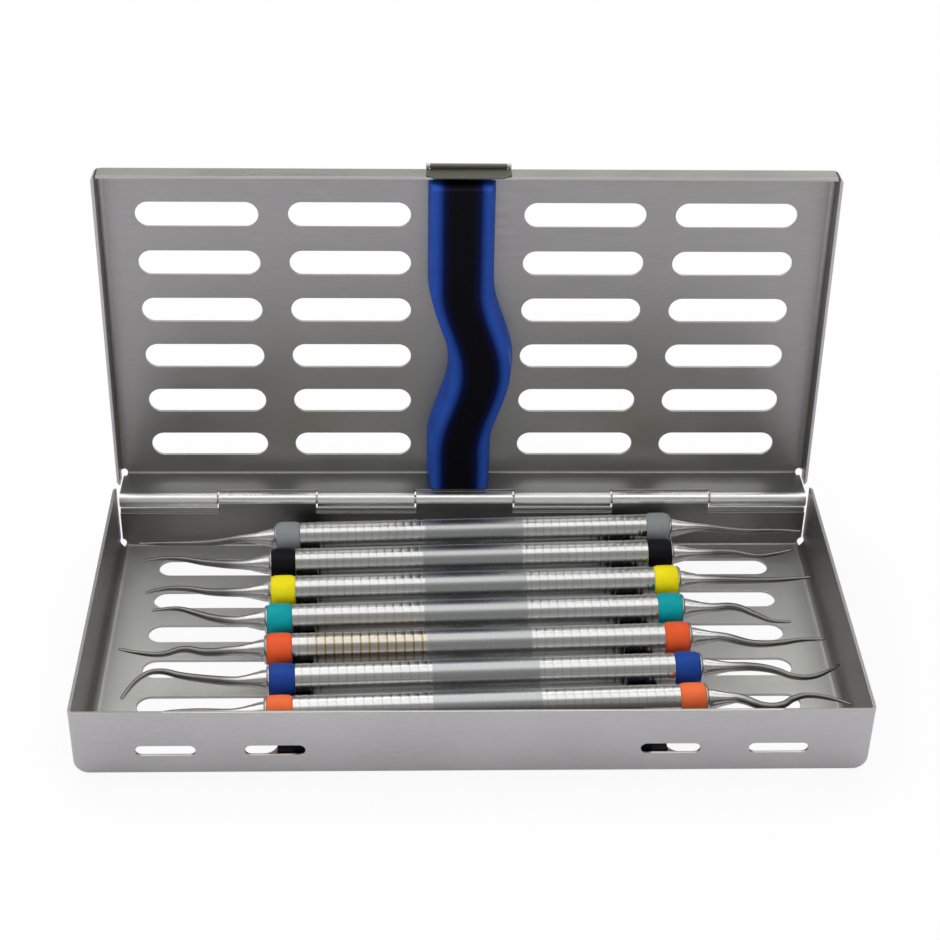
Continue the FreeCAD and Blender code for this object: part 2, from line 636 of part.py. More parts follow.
def make_handle(name):
    """A round handle with a plain middle, ring grooves, two ring seats and a bore in each end."""
    body = new_body(name)
    profile = sketch_on(body, name + "_profile", "XZ_Plane")
    radius = "Sizes.handle / 2"
    bore = "Sizes.stem / 2 + Sizes.press_fit"
    deep = f"({HANDLE_END} - Sizes.stem_length - Sizes.press_fit)"
    outer = f"({RING_CENTRE} + Sizes.ring_width / 2)"
    right = [
        (RING_INNER, radius), (RING_INNER, RING_SEAT), (outer, RING_SEAT), (outer, radius),
        (HANDLE_END, radius), (HANDLE_END, bore), (deep, bore), (deep, "0"),
    ]
    left = [(f"-{x}", y) for x, y in reversed(right)]
    polygon(profile, right + left)
    revolve(body, profile)
    doc.recompute()
    for side in ("-1", "1"):
        cut = sketch_on(body, f"{name}_groove", "XZ_Plane")
        start = f"{side} * (Sizes.grip_half + {GROOVE_PITCH} / 2)"
        low, high = f"{start} - Sizes.groove_width / 2", f"{start} + Sizes.groove_width / 2"
        rectangle(cut, low, high, f"{radius} - Sizes.groove_depth", f"{radius} + Sizes.groove_depth")
        groove = body.newObject("PartDesign::Groove", f"{name}_ring_groove")
        groove.Profile = cut
        groove.ReferenceAxis = (cut, ["H_Axis"])
        spread = f"(Sizes.groove_count - 1) * {GROOVE_PITCH}"
        row = pattern(body, [groove], "X_Axis", spread, "Sizes.groove_count")
        row.Reversed = side == "-1"
    return body


def make_ring(name, side):
    """A colour-code band with bevelled edges, stretched over the handle's seat."""
    body = new_body(name)
    profile = sketch_on(body, name + "_profile", "XZ_Plane")
    inner = f"{RING_SEAT} + Sizes.ring_fit"
    outer = "Sizes.handle / 2 + Sizes.ring_proud"
    shoulder = f"{outer} - Sizes.ring_edge / 2"
    half = "(Sizes.ring_width / 2 - Sizes.ring_fit)"
    centre = f"{side} * {RING_CENTRE}"
    polygon(profile, [
        (f"{centre} - {half}", inner), (f"{centre} + {half}", inner), (f"{centre} + {half}", shoulder),
        (f"{centre} + {half} - Sizes.ring_edge", outer), (f"{centre} - {half} + Sizes.ring_edge", outer),
        (f"{centre} - {half}", shoulder),
    ])
    revolve(body, profile)
    return body


def round_section(middle, normal, radius):
    """A round section of a working end, with its seam on top."""
    section = Part.Circle(middle, normal, radius)
    section.XAxis = Vector(0, 0, 1)
    return Part.Wire(section.toShape())


def make_working_end(name, side, shares):
    """A cone, a thin bent shank that tapers to its tip, and a stem that seats in the handle."""
    along = Vector(side, 0, 0)
    end = along * number(HANDLE_END)
    cone_end = end + along * number("Sizes.cone_length")
    reach = along * number("Sizes.end_reach")
    sway = Vector(0, number("Sizes.end_sway"), 0)
    neck, tip = number("Sizes.neck / 2"), number("Sizes.tip / 2")
    spine = Part.BSplineCurve()
    spine.interpolate([end, cone_end] + [end + reach * share + sway * back for share, back in shares])
    first, last = spine.parameter(cone_end), spine.LastParameter
    sections = [round_section(end, along, number("Sizes.handle / 2 - Sizes.cone_step"))]
    for i in range(END_SECTIONS):
        share = i / (END_SECTIONS - 1)
        at = first + (last - first) * share
        sections.append(round_section(spine.value(at), spine.tangent(at)[0], neck + (tip - neck) * share))
    shank = Part.makeLoft(sections, True, True)
    stem = Part.makeCylinder(number("Sizes.stem / 2"), number("Sizes.stem_length"), end, -along)
    piece = doc.addObject("Part::Feature", name)
    piece.Shape = shank.fuse(stem)
    return keep(piece, name)


def make_instrument(index):
    """One double-ended instrument: handle, two rings and two working ends."""
    name = f"instrument_{index + 1}"
    pieces = [make_handle(name + "_handle")]
    for label, side, shares in (("left", -1, LEFT_END_SHARES), ("right", 1, RIGHT_END_SHARES)):
        pieces.append(make_ring(f"{name}_ring_{label}", side))
        pieces.append(make_working_end(f"{name}_end_{label}", side, shares[index]))
    for piece in pieces:
        piece.Placement = instrument_placement(index)


def main():
    make_base_tray()
    make_lid_pan()
    pin_length = f"{KNUCKLE_ROOM} - Sizes.knuckle_gap"
    cylinder("hinge_pin", "Sizes.hinge_pin / 2", pin_length, ("0", AXIS_Y, AXIS_Z))
    make_wave_strip()
    make_latch_flap()
    latch_length = "Sizes.latch_width + 2 * Sizes.ear_gap + 2 * Sizes.sheet"
    cylinder("latch_pin", "Sizes.latch_pin / 2", latch_length, ("0", EYE_Y, EYE_Z), lid_placement())
    make_rack("-1", "rack_left")
    make_rack("1", "rack_right")
    for index in range(len(SHIFTS)):
        make_instrument(index)
    doc.recompute()
    for thing in doc.Objects:
        if {"Invalid", "Error"} & set(thing.State):
            raise RuntimeError(f"{thing.Name} failed: {thing.State}")
    os.makedirs("parts", exist_ok=True)
    for node in nodes:
        if node.Shape.isNull() or not node.Shape.isValid() or len(node.Shape.Solids) != 1:
            raise RuntimeError(f"{node.Label} is not one valid solid")
        node.Shape.exportStep(f"parts/{node.Label}.step")
        print(node.Label, round(node.Shape.Volume, 1))


main()
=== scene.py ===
"""Looks of an open steel cassette that holds seven double-ended hand instruments."""

import json
import logging
import math
from collections.abc import Callable, Sequence
from dataclasses import dataclass, replace
from enum import Enum
from typing import Protocol

import bmesh
import bpy
from mathutils import Matrix, Vector


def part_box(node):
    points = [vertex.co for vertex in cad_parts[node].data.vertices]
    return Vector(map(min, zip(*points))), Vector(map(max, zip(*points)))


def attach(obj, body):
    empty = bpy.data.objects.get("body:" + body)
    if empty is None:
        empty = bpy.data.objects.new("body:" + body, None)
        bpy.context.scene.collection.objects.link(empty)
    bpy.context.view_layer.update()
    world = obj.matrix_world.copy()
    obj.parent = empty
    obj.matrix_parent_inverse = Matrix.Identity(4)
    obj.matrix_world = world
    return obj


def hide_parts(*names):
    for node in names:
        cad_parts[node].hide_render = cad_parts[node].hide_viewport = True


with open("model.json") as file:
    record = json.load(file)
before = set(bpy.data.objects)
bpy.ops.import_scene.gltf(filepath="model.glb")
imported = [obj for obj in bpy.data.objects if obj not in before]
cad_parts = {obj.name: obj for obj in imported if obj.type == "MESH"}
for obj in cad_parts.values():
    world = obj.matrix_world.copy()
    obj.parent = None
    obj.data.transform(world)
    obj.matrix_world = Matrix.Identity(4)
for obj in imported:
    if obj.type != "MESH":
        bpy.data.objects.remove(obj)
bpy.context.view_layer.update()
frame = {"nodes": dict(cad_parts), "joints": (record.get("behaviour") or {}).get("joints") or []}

MM = 0.001
LOG = logging.getLogger("cassette")
Colour = tuple[float, float, float, float]
Station = tuple[float, float]
Cut = tuple[Vector, Vector]

BLACK: Colour = (0.0, 0.0, 0.0, 1.0)
WHITE: Colour = (1.0, 1.0, 1.0, 1.0)
MERGE = 0.001 * MM
NODE_MERGE = 0.002 * MM
NODE_FLAT_ANGLE = 0.5
NODE_EDGE_ANGLE = 40.0
SMOOTH_ANGLE = 60.0
FLAT_WEIGHT = 80
RELIEF_SIDE = 86.5 * MM
RELIEF_BACK = 39.5 * MM
RELIEF_TOP = 21.0 * MM
RELIEF_LID_EDGE = 95.0 * MM


def linear(red: int, green: int, blue: int) -> Colour:
    """Turns a colour as a screen shows it into the shader's own scale.

    Args:
        red: red from 0 to 255.
        green: green from 0 to 255.
        blue: blue from 0 to 255.

    Returns:
        The linear colour with full opacity.
    """
    shares = [channel / 255 for channel in (red, green, blue)]
    scaled = [s / 12.92 if s <= 0.04045 else ((s + 0.055) / 1.055) ** 2.4 for s in shares]
    return (scaled[0], scaled[1], scaled[2], 1.0)


def shade(colour: Colour, level: float) -> Colour:
    """Returns a colour made lighter or darker by a factor."""
    return (colour[0] * level, colour[1] * level, colour[2] * level, 1.0)


def middle_of(node: str) -> Vector:
    """Returns the middle of a model node's box."""
    low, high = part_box(node)
    return (low + high) / 2


def joint_named(name: str) -> dict:
    """Returns a joint of the frame by its name."""
    return next(joint for joint in frame["joints"] if joint["name"] == name)


def lid_placement() -> Matrix:
    """Works out the place of the open lid.

    Returns:
        The move from a lid drawn shut, with the hinge at the origin, to the open lid.
    """
    hinge = joint_named("lid_hinge")
    angle = math.radians(hinge["range_deg"][0])
    return Matrix.Translation(Vector(hinge["pos_m"])) @ Matrix.Rotation(angle, 4, "X")


def start_clean() -> None:
    """Leaves edit mode and deselects everything."""
    active = bpy.context.view_layer.objects.active
    if active and active.mode != "OBJECT":
        bpy.ops.object.mode_set(mode="OBJECT")
    bpy.ops.object.select_all(action="DESELECT")


def take(piece: bpy.types.Object) -> None:
    """Makes one piece the only selected one and the active one.

    Args:
        piece: the piece to work on.
    """
    start_clean()
    piece.select_set(True)
    bpy.context.view_layer.objects.active = piece


def open_up(piece: bpy.types.Object) -> None:
    """Opens one piece in edit mode with all of it selected.

    Args:
        piece: the piece to work on.
    """
    take(piece)
    bpy.ops.object.mode_set(mode="EDIT")
    bpy.ops.mesh.select_mode(type="VERT")
    bpy.ops.mesh.select_all(action="SELECT")


def pick(piece: bpy.types.Object, wanted: Callable[[Vector], bool]) -> None:
    """Selects the points of the open piece by their place.

    Args:
        piece: the piece that is open in edit mode.
        wanted: a test on a point's place.
    """
    bpy.ops.mesh.select_all(action="DESELECT")
    mesh = bmesh.from_edit_mesh(piece.data)
    for point in mesh.verts:
        point.select = wanted(point.co)
    mesh.select_flush(True)
    bmesh.update_edit_mesh(piece.data)


def close_up() -> None:
    """Points the faces of the open piece outwards and goes back to object mode."""
    bpy.ops.mesh.select_all(action="SELECT")
    bpy.ops.mesh.normals_make_consistent(inside=False)
    bpy.ops.object.mode_set(mode="OBJECT")


def named(piece: bpy.types.Object, name: str) -> bpy.types.Object:
    """Gives a piece and its mesh one name.

    Args:
        piece: the piece.
        name: name for both.

    Returns:
        The same piece.
    """
    piece.name = name
    piece.data.name = name
    return piece


def settle(piece: bpy.types.Object, placement: Matrix) -> None:
    """Moves a piece to its place and puts that place into its mesh.

    Args:
        piece: a piece built about the origin.
        placement: where it goes in the frame.
    """
    take(piece)
    piece.matrix_world = placement
    bpy.ops.object.transform_apply(location=True, rotation=True, scale=True)


def soften(piece: bpy.types.Object, width: float, segments: int, angle: float,
           sharp: Callable[[Vector], bool] | None = None) -> None:
    """Rounds a piece's sharp edges and shades it smooth between them.

    Args:
        piece: the piece to finish.
        width: width of the rounding in metres.
        segments: faces across the rounding.
        angle: smallest angle that counts as an edge, in degrees.
        sharp: a test on a place whose edges stay sharp, on a piece cut from sheet.
    """
    open_up(piece)
    mesh = bmesh.from_edit_mesh(piece.data)
    weight = mesh.edges.layers.float.new("bevel_weight_edge")
    for edge in mesh.edges:
        middle = (edge.verts[0].co + edge.verts[1].co) / 2
        bent = edge.calc_face_angle(0.0) > math.radians(angle)
        edge[weight] = 1.0 if bent and not (sharp and sharp(middle)) else 0.0
    bmesh.update_edit_mesh(piece.data)
    take(piece)
    rounding = piece.modifiers.new("edge_rounding", "BEVEL")
    rounding.width = width
    rounding.segments = segments
    rounding.limit_method = "WEIGHT"
    rounding.use_clamp_overlap = sharp is None
    rounding.miter_outer = "MITER_ARC"
    bpy.ops.object.modifier_apply(modifier=rounding.name)
    smooth_over(piece)


def smooth_over(piece: bpy.types.Object) -> None:
    """Shades a piece smooth across its roundings and keeps its flats flat.

    Args:
        piece: the piece to finish.
    """
    take(piece)
    bpy.ops.object.shade_smooth_by_angle(angle=math.radians(SMOOTH_ANGLE))
    flats = piece.modifiers.new("flat_faces", "WEIGHTED_NORMAL")
    flats.mode = "FACE_AREA"
    flats.weight = FLAT_WEIGHT
    flats.keep_sharp = True
    bpy.ops.object.modifier_apply(modifier=flats.name)


def twin(master: bpy.types.Object, name: str) -> bpy.types.Object:
    """Copies a piece with its own mesh.

    Args:
        master: the piece that was modelled.
        name: name of the copy.

    Returns:
        The copy, in the same place.
    """
    copy = master.copy()
    copy.data = master.data.copy()
    bpy.context.scene.collection.objects.link(copy)
    return named(copy, name)


def scrap(master: bpy.types.Object) -> None:
    """Removes a piece that was only a start for others.

    Args:
        master: the piece to remove.
    """
    start_clean()
    mesh = master.data
    bpy.data.objects.remove(master)
    bpy.data.meshes.remove(mesh)


def both_halves(half: Sequence[Station]) -> list[Station]:
    """Returns the stations of a whole round piece from those of its right half."""
    return [(-place, radius) for place, radius in reversed(half)] + list(half)


def turned(name: str, stations: Sequence[Station], sides: int,
           hollow: bool = False) -> bpy.types.Object:
    """Turns a round piece about the X axis, drawn out from one circle.

    Args:
        name: name of the piece.
        stations: places along X with their radii, in order.
        sides: number of sides round the piece.
        hollow: whether the last circle joins the first, as in a band, or both ends are capped.

    Returns:
        The piece, about the origin.
    """
    place, radius = stations[0]
    start_clean()
    bpy.ops.mesh.primitive_circle_add(
        vertices=sides, radius=radius, location=(place, 0, 0), rotation=(0, math.pi / 2, 0)
    )
    piece = named(bpy.context.object, name)
    bpy.ops.object.transform_apply(location=True, rotation=True, scale=True)
    open_up(piece)
    for next_place, next_radius in stations[1:]:
        move = (next_place - place, 0, 0)
        bpy.ops.mesh.extrude_region_move(TRANSFORM_OT_translate={"value": move})
        grow = next_radius / radius
        bpy.ops.transform.resize(value=(1, grow, grow), center_override=(next_place, 0, 0))
        place, radius = next_place, next_radius
    if hollow:
        bpy.ops.mesh.select_all(action="DESELECT")
        bpy.ops.mesh.select_non_manifold(extend=False)
        bpy.ops.mesh.bridge_edge_loops()
    else:
        bpy.ops.mesh.select_all(action="SELECT")
        bpy.ops.mesh.fill_holes(sides=0)
    close_up()
    return piece


def mark(piece: bpy.types.Object, name: str, value: Callable[[Vector], float],
         by_face: bool = False) -> None:
    """Stores a number over a piece for its finish to read.

    Args:
        piece: the piece.
        name: name of the stored number.
        value: the number at a place.
        by_face: whether each whole face takes the number at its middle, or each point its own.
    """
    if by_face:
        numbers = [value(face.center) for face in piece.data.polygons]
    else:
        numbers = [value(point.co) for point in piece.data.vertices]
    store = piece.data.attributes.new(name, "FLOAT", "FACE" if by_face else "POINT")
    store.data.foreach_set("value", numbers)


class Wiring:
    """A node tree whose nodes are added and joined by name."""

    def __init__(self, tree: bpy.types.NodeTree, emptied: bool = False) -> None:
        """Takes a tree over.

        Args:
            tree: the tree of a material or of the room.
            emptied: whether its first nodes are removed.
        """
        self.tree = tree
        if emptied:
            tree.nodes.clear()

    def add(self, kind: str, inputs: dict | None = None, **settings: object) -> bpy.types.Node:
        """Adds a node.

        Args:
            kind: Blender's name for the node.
            inputs: sockets by name or number, with a value or another node's output.
            settings: properties of the node.

        Returns:
            The new node.
        """
        node = self.tree.nodes.new(kind)
        for key, value in settings.items():
            setattr(node, key, value)
        for key, value in (inputs or {}).items():
            self.join(node.inputs[key], value)
        return node

    def join(self, socket: bpy.types.NodeSocket, value: object) -> None:
        """Links an output to a socket, or sets the socket's own value.

        Args:
            socket: the socket of a node.
            value: another node's output, or a plain value.
        """
        if isinstance(value, bpy.types.NodeSocket):
            self.tree.links.new(value, socket)
        else:
            socket.default_value = value

    def sum(self, first: object, second: object, kind: str = "ADD") -> bpy.types.NodeSocket:
        """Returns a sum, or another operation, of two numbers."""
        return self.add("ShaderNodeMath", {0: first, 1: second}, operation=kind).outputs[0]

    def overlay(self, share: object, first: object, second: object) -> bpy.types.NodeSocket:
        """Returns two shaders mixed by a share."""
        return self.add("ShaderNodeMixShader", {0: share, 1: first, 2: second}).outputs[0]

    def ramp(self, share: bpy.types.NodeSocket,
             stops: Sequence[tuple[float, Colour]]) -> bpy.types.NodeSocket:
        """Grades a colour through stops as a share rises.

        Args:
            share: the number that the colour follows.
            stops: places with their colours, in order.

        Returns:
            The colour.
        """
        ramp = self.add("ShaderNodeValToRGB", {"Fac": share})
        ends = ramp.color_ramp.elements
        ends[0].position, ends[0].color = stops[0]
        ends[1].position, ends[1].color = stops[-1]
        for position, colour in stops[1:-1]:
            ends.new(position).color = colour
        return ramp.outputs["Color"]


class NodeSheet(Wiring):
    """The nodes of one material, whose patterns follow the piece's own place."""

    def __init__(self, name: str) -> None:
        """Starts a material with its shader and output.

        Args:
            name: name of the material.
        """
        self.material = bpy.data.materials.new(name)
        self.material.use_nodes = True
        super().__init__(self.material.node_tree)
        self.shader = next(n for n in self.tree.nodes if n.type == "BSDF_PRINCIPLED")
        self.place = self.add("ShaderNodeTexCoord").outputs["Object"]

    def set(self, **values: object) -> None:
        """Sets or links the shader's sockets, named with underscores for spaces."""
        for key, value in values.items():
            self.join(self.shader.inputs[key.replace("_", " ")], value)

    def noise(self, scale: float | Sequence[float], detail: float = 3.0,
              rough: float = 0.55) -> bpy.types.NodeSocket:
        """Adds a noise over the piece.

        Args:
            scale: its scale per metre, the same all ways or one along each axis.
            detail: how many finer layers it has.
            rough: how strong the finer layers are.

        Returns:
            The noise, about 0.5.
        """
        scales = tuple(scale) if isinstance(scale, Sequence) else (scale, scale, scale)
        spread = self.add("ShaderNodeMapping", {"Vector": self.place, "Scale": scales})
        noise = self.add(
            "ShaderNodeTexNoise",
            {"Vector": spread.outputs[0], "Scale": 1.0, "Detail": detail, "Roughness": rough},
        )
        return noise.outputs["Fac"]

    def spread(self, value: bpy.types.NodeSocket, low: float, high: float,
               start: float = 0.3, end: float = 0.7) -> bpy.types.NodeSocket:
        """Stretches a number from one range to another.

        Args:
            value: the number.
            low: what it becomes at the start of its range.
            high: what it becomes at the end of its range.
            start: start of its range, which is a noise's where none is given.
            end: end of its range.

        Returns:
            The stretched number.
        """
        ranged = self.add(
            "ShaderNodeMapRange",
            {"Value": value, "From Min": start, "From Max": end, "To Min": low, "To Max": high},
        )
        return ranged.outputs["Result"]

    def blend(self, share: bpy.types.NodeSocket, first: object,
              second: object) -> bpy.types.NodeSocket:
        """Returns two colours mixed by a share."""
        mix = self.add("ShaderNodeMix", {0: share, 6: first, 7: second}, data_type="RGBA")
        return mix.outputs[2]

    def stored(self, name: str) -> bpy.types.NodeSocket:
        """Returns a number stored on the piece."""
        return self.add("ShaderNodeAttribute", attribute_name=name).outputs["Fac"]

    def bump(self, height: bpy.types.NodeSocket, strength: float, distance: float) -> None:
        """Raises the surface by a height, with its distance in metres."""
        settings = {"Strength": strength, "Distance": distance, "Height": height}
        self.set(Normal=self.add("ShaderNodeBump", settings).outputs["Normal"])


class Finish(Protocol):
    """What every finish offers."""

    @property
    def name(self) -> str:
        """Returns the name of the finish."""

    def make(self) -> bpy.types.Material:
        """Returns the material."""


@dataclass(frozen=True)
class PaintedLightAndFinish:
    """A change of tone and roughness where a piece stores a number of this name; on the case the
    tone is painted shade inside and a painted highlight on the barrels.
    """

    stored: str
    colour: Colour
    rougher: float


@dataclass(frozen=True)
class SheetSteel:
    """Satin stainless sheet, with a fine grain, faint clouds and a few hairline scuffs.

    The numbers "inside", "scuffed" and "rubbed" stored on a piece say where it takes painted
    shade, a darker tone with a rougher finish on its inner faces, where it is lighter and rougher,
    and where a painted highlight makes it much lighter.
    """

    name: str
    colour: Colour
    smooth: float = 0.26
    rough: float = 0.38
    painted_light_and_finish: tuple[PaintedLightAndFinish, ...] = (
        # inside: painted shade, a darker tone on the inner faces of tray and lid, with a rougher
        # finish
        PaintedLightAndFinish("inside", (0.32, 0.316, 0.301, 1.0), 0.125),
        # a lighter, rougher tone on the tray's floor
        PaintedLightAndFinish("lighter_floor", (0.60, 0.60, 0.57, 1.0), 0.055),
        # rubbed: a painted highlight, a much lighter tone on the hinge's barrels, a little
        # smoother
        PaintedLightAndFinish("painted_highlight", (0.90, 0.90, 0.87, 1.0), -0.03),
    )
    clouds: float = 38.0
    cloud_shade: float = 0.1
    grain: tuple[float, float, float] = (350.0, 2600.0, 2600.0)
    grain_shade: float = 0.06
    grain_bump: float = 0.12
    grain_height: float = 0.04 * MM
    scuffs: tuple[float, float, float] = (90.0, 900.0, 900.0)
    scuff_range: tuple[float, float] = (0.75, 1.25)

    def make(self) -> bpy.types.Material:
        """Makes the material.

        Returns:
            The material, for pieces that store the three numbers or none.
        """
        sheet = NodeSheet(self.name)
        cloud = sheet.noise(self.clouds, detail=4.0)
        grain = sheet.noise(self.grain, detail=2.0)
        scuff = sheet.noise(self.scuffs, detail=5.0, rough=0.7)
        tone: object = self.colour
        rough = sheet.spread(sheet.sum(cloud, scuff), self.smooth, self.rough, *self.scuff_range)
        for tone_patch in self.painted_light_and_finish:
            share = sheet.stored(tone_patch.stored)
            tone = sheet.blend(share, tone, tone_patch.colour)
            rough = sheet.sum(rough, sheet.sum(share, tone_patch.rougher, "MULTIPLY"))
        tone = sheet.blend(sheet.spread(cloud, self.cloud_shade, 0), tone, BLACK)
        tone = sheet.blend(sheet.spread(grain, 0, self.grain_shade), tone, BLACK)
        sheet.set(Base_Color=tone, Metallic=1.0, Roughness=rough)
        sheet.bump(grain, self.grain_bump, self.grain_height)
        return sheet.material


@dataclass(frozen=True)
class TurnedSteel:
    """Bright turned steel of the handles, with a duller plain middle and fine lathe lines.

    The numbers "along" and "depth" stored on a handle say how far a place is from its middle, and
    how deep it lies in a groove, which painted shade darkens by its depth. A gilt handle has a
    gold wash in the grooves left of its middle.
    """

    name: str
    colour: Colour
    middle: Colour
    half: float = 12.5 * MM
    half_border: float = 0.1 * MM
    gilt: Colour | None = None
    gilt_end: float = -42.0 * MM
    gilt_fade: float = 4.0 * MM
    gilt_border: float = 0.2 * MM
    gilt_least: float = 0.25
    gilt_depth: float = 0.6
    clouds: float = 120.0
    cloud_levels: tuple[float, float] = (0.95, 1.04)
    # share and level of the painted shade in the grooves
    groove_shade_share: float = 0.3
    groove_shade_level: float = 0.6
    smooth: float = 0.17
    rough: float = 0.27
    middle_rougher: float = 0.1
    lines: float = 9000.0
    line_bump: float = 0.06
    line_height: float = 0.03 * MM

    def make(self) -> bpy.types.Material:
        """Makes the material.

        Returns:
            The material, for a handle that stores both numbers.
        """
        sheet = NodeSheet(self.name)
        along = sheet.stored("along")
        depth = sheet.stored("depth")
        lines = sheet.add(
            "ShaderNodeTexNoise",
            {"W": sheet.sum(along, self.lines, "MULTIPLY"), "Scale": 1.0, "Detail": 2.0},
            noise_dimensions="1D",
        ).outputs["Fac"]
        cloud = sheet.noise(self.clouds)
        far = sheet.sum(sheet.sum(along, 0.0, "ABSOLUTE"), self.half, "SUBTRACT")
        grip = sheet.spread(far, 0, 1, -self.half_border, self.half_border)
        dark, light = (shade(self.colour, level) for level in self.cloud_levels)
        tone = sheet.blend(sheet.spread(cloud, 0, 1), dark, light)
        tone = sheet.blend(grip, self.middle, tone)
        # painted shade: the grooves darken with their depth
        sunk = sheet.sum(depth, self.groove_shade_share, "MULTIPLY")
        tone = sheet.blend(sunk, tone, shade(self.colour, self.groove_shade_level))
        if self.gilt:
            start = sheet.spread(along, 1, 0, -self.half - self.gilt_border, -self.half)
            fade = sheet.spread(along, 0, 1, self.gilt_end, self.gilt_end + self.gilt_fade)
            wash = sheet.spread(depth, self.gilt_least, 1, 0, self.gilt_depth)
            gilded = sheet.sum(sheet.sum(start, fade, "MULTIPLY"), wash, "MULTIPLY")
            tone = sheet.blend(gilded, tone, self.gilt)
        dull = sheet.spread(grip, self.middle_rougher, 0.0, 0, 1)
        rough = sheet.sum(sheet.spread(lines, self.smooth, self.rough), dull)
        sheet.set(Base_Color=tone, Metallic=1.0, Roughness=rough)
        sheet.bump(lines, self.line_bump, self.line_height)
        return sheet.material


@dataclass(frozen=True)
class WorkedSteel:
    """Ground and polished steel of pins and working ends.

    The number "thin" stored on a piece says where it is a thin shank, which takes a darker tone as
    painted shade.
    """

    name: str
    colour: Colour
    smooth: float = 0.14
    rough: float = 0.28
    # painted shade: the darker tone of the thin shanks
    thin: Colour = (0.2, 0.196, 0.184, 1.0)
    clouds: float = 260.0
    cloud_shade: float = 0.1
    polish: float = 4000.0
    polish_bump: float = 0.05
    polish_height: float = 0.02 * MM

    def make(self) -> bpy.types.Material:
        """Makes the material.

        Returns:
            The material, for pieces that store the number or not.
        """
        sheet = NodeSheet(self.name)
        cloud = sheet.noise(self.clouds)
        fine = sheet.noise(self.polish, detail=2.0)
        # painted shade on the thin shanks
        tone = sheet.blend(sheet.stored("thin"), self.colour, self.thin)
        tone = sheet.blend(sheet.spread(cloud, self.cloud_shade, 0), tone, BLACK)
        rough = sheet.spread(fine, self.smooth, self.rough)
        sheet.set(Base_Color=tone, Metallic=1.0, Roughness=rough)
        sheet.bump(fine, self.polish_bump, self.polish_height)
        return sheet.material


@dataclass(frozen=True)
class Rubber:
    """Moulded silicone with a matt skin and a little dust in its pores."""

    name: str
    colour: Colour
    smooth: float = 0.4
    rough: float = 0.54
    level: float = 0.12
    clouds: float = 200.0
    cloud_share: float = 0.12
    cloud_colour: Colour = (0.002, 0.002, 0.003, 1.0)
    pores: float = 3500.0
    dust_share: float = 0.005
    dust_colour: Colour = (0.8, 0.8, 0.8, 1.0)
    pore_bump: float = 0.15
    pore_height: float = 0.05 * MM

    def make(self) -> bpy.types.Material:
        """Makes the material.

        Returns:
            The material.
        """
        sheet = NodeSheet(self.name)
        self.dress(sheet, self.colour)
        return sheet.material

    def dress(self, sheet: NodeSheet, base: object) -> None:
        """Adds the skin's small changes of tone, gloss and height to a base colour.

        Args:
            sheet: the nodes of the material.
            base: the colour, or an output that gives it.
        """
        cloud = sheet.noise(self.clouds)
        pores = sheet.noise(self.pores, detail=2.0)
        tone = sheet.blend(sheet.spread(cloud, 0, self.cloud_share), base, self.cloud_colour)
        tone = sheet.blend(sheet.spread(pores, 0, self.dust_share), tone, self.dust_colour)
        rough = sheet.spread(pores, self.smooth, self.rough)
        sheet.set(Base_Color=tone, Roughness=rough, Specular_IOR_Level=self.level)
        sheet.bump(pores, self.pore_bump, self.pore_height)


@dataclass(frozen=True)
class TwoToneRubber(Rubber):
    """Silicone whose blue sides grade through navy into a near-black crown.

    The number "aside" stored on a piece says how far a place is from its middle line, as a share
    of its half width. Each flank level is such a share with a level of the blue. The near-black
    crown and the blue are the strip's own two tones; the blue rising to half again as bright
    towards the outer edges is a painted highlight on the flanks.
    """

    crown: Colour = linear(2, 2, 9)
    crown_edge: float = 0.34
    shoulder: Colour = linear(1, 12, 62)
    shoulder_edge: float = 0.52
    # the blue's rise towards the outer edges is a painted highlight on the flanks
    flank_sheen_levels: tuple[Station, ...] = ((0.64, 0.6), (0.75, 1.0), (0.93, 1.1), (1.0, 1.5))

    def make(self) -> bpy.types.Material:
        """Makes the material.

        Returns:
            The material, for a piece that stores the number.
        """
        sheet = NodeSheet(self.name)
        across = sheet.sum(sheet.stored("aside"), 0.0, "ABSOLUTE")
        stops = [(self.crown_edge, self.crown), (self.shoulder_edge, self.shoulder)]
        stops += [(place, shade(self.colour, level)) for place, level in self.flank_sheen_levels]
        self.dress(sheet, sheet.ramp(across, stops))
        return sheet.material


class BandColour(Enum):
    """Colours of the code bands, from the back instrument to the front one."""

    GREY = ("ring_grey", linear(142, 147, 148))
    NAVY = ("ring_navy", linear(4, 4, 14))
    YELLOW = ("ring_yellow", linear(250, 232, 16))
    TEAL = ("ring_teal", linear(0, 160, 168))
    RED = ("ring_red", linear(234, 92, 46))
    BLUE = ("ring_blue", linear(25, 66, 148))
    ORANGE = ("ring_orange", linear(244, 114, 62))

    def __init__(self, slot: str, colour: Colour) -> None:
        """Keeps the record's slot and the colour apart."""
        self.slot = slot
        self.colour = colour


class Side(Enum):
    """The two ends of an instrument."""

    LEFT = -1
    RIGHT = 1

    @property
    def label(self) -> str:
        """Returns the side's word in node names."""
        return self.name.lower()


CASE_STEEL = SheetSteel("case_steel", (0.50, 0.50, 0.47, 1.0))
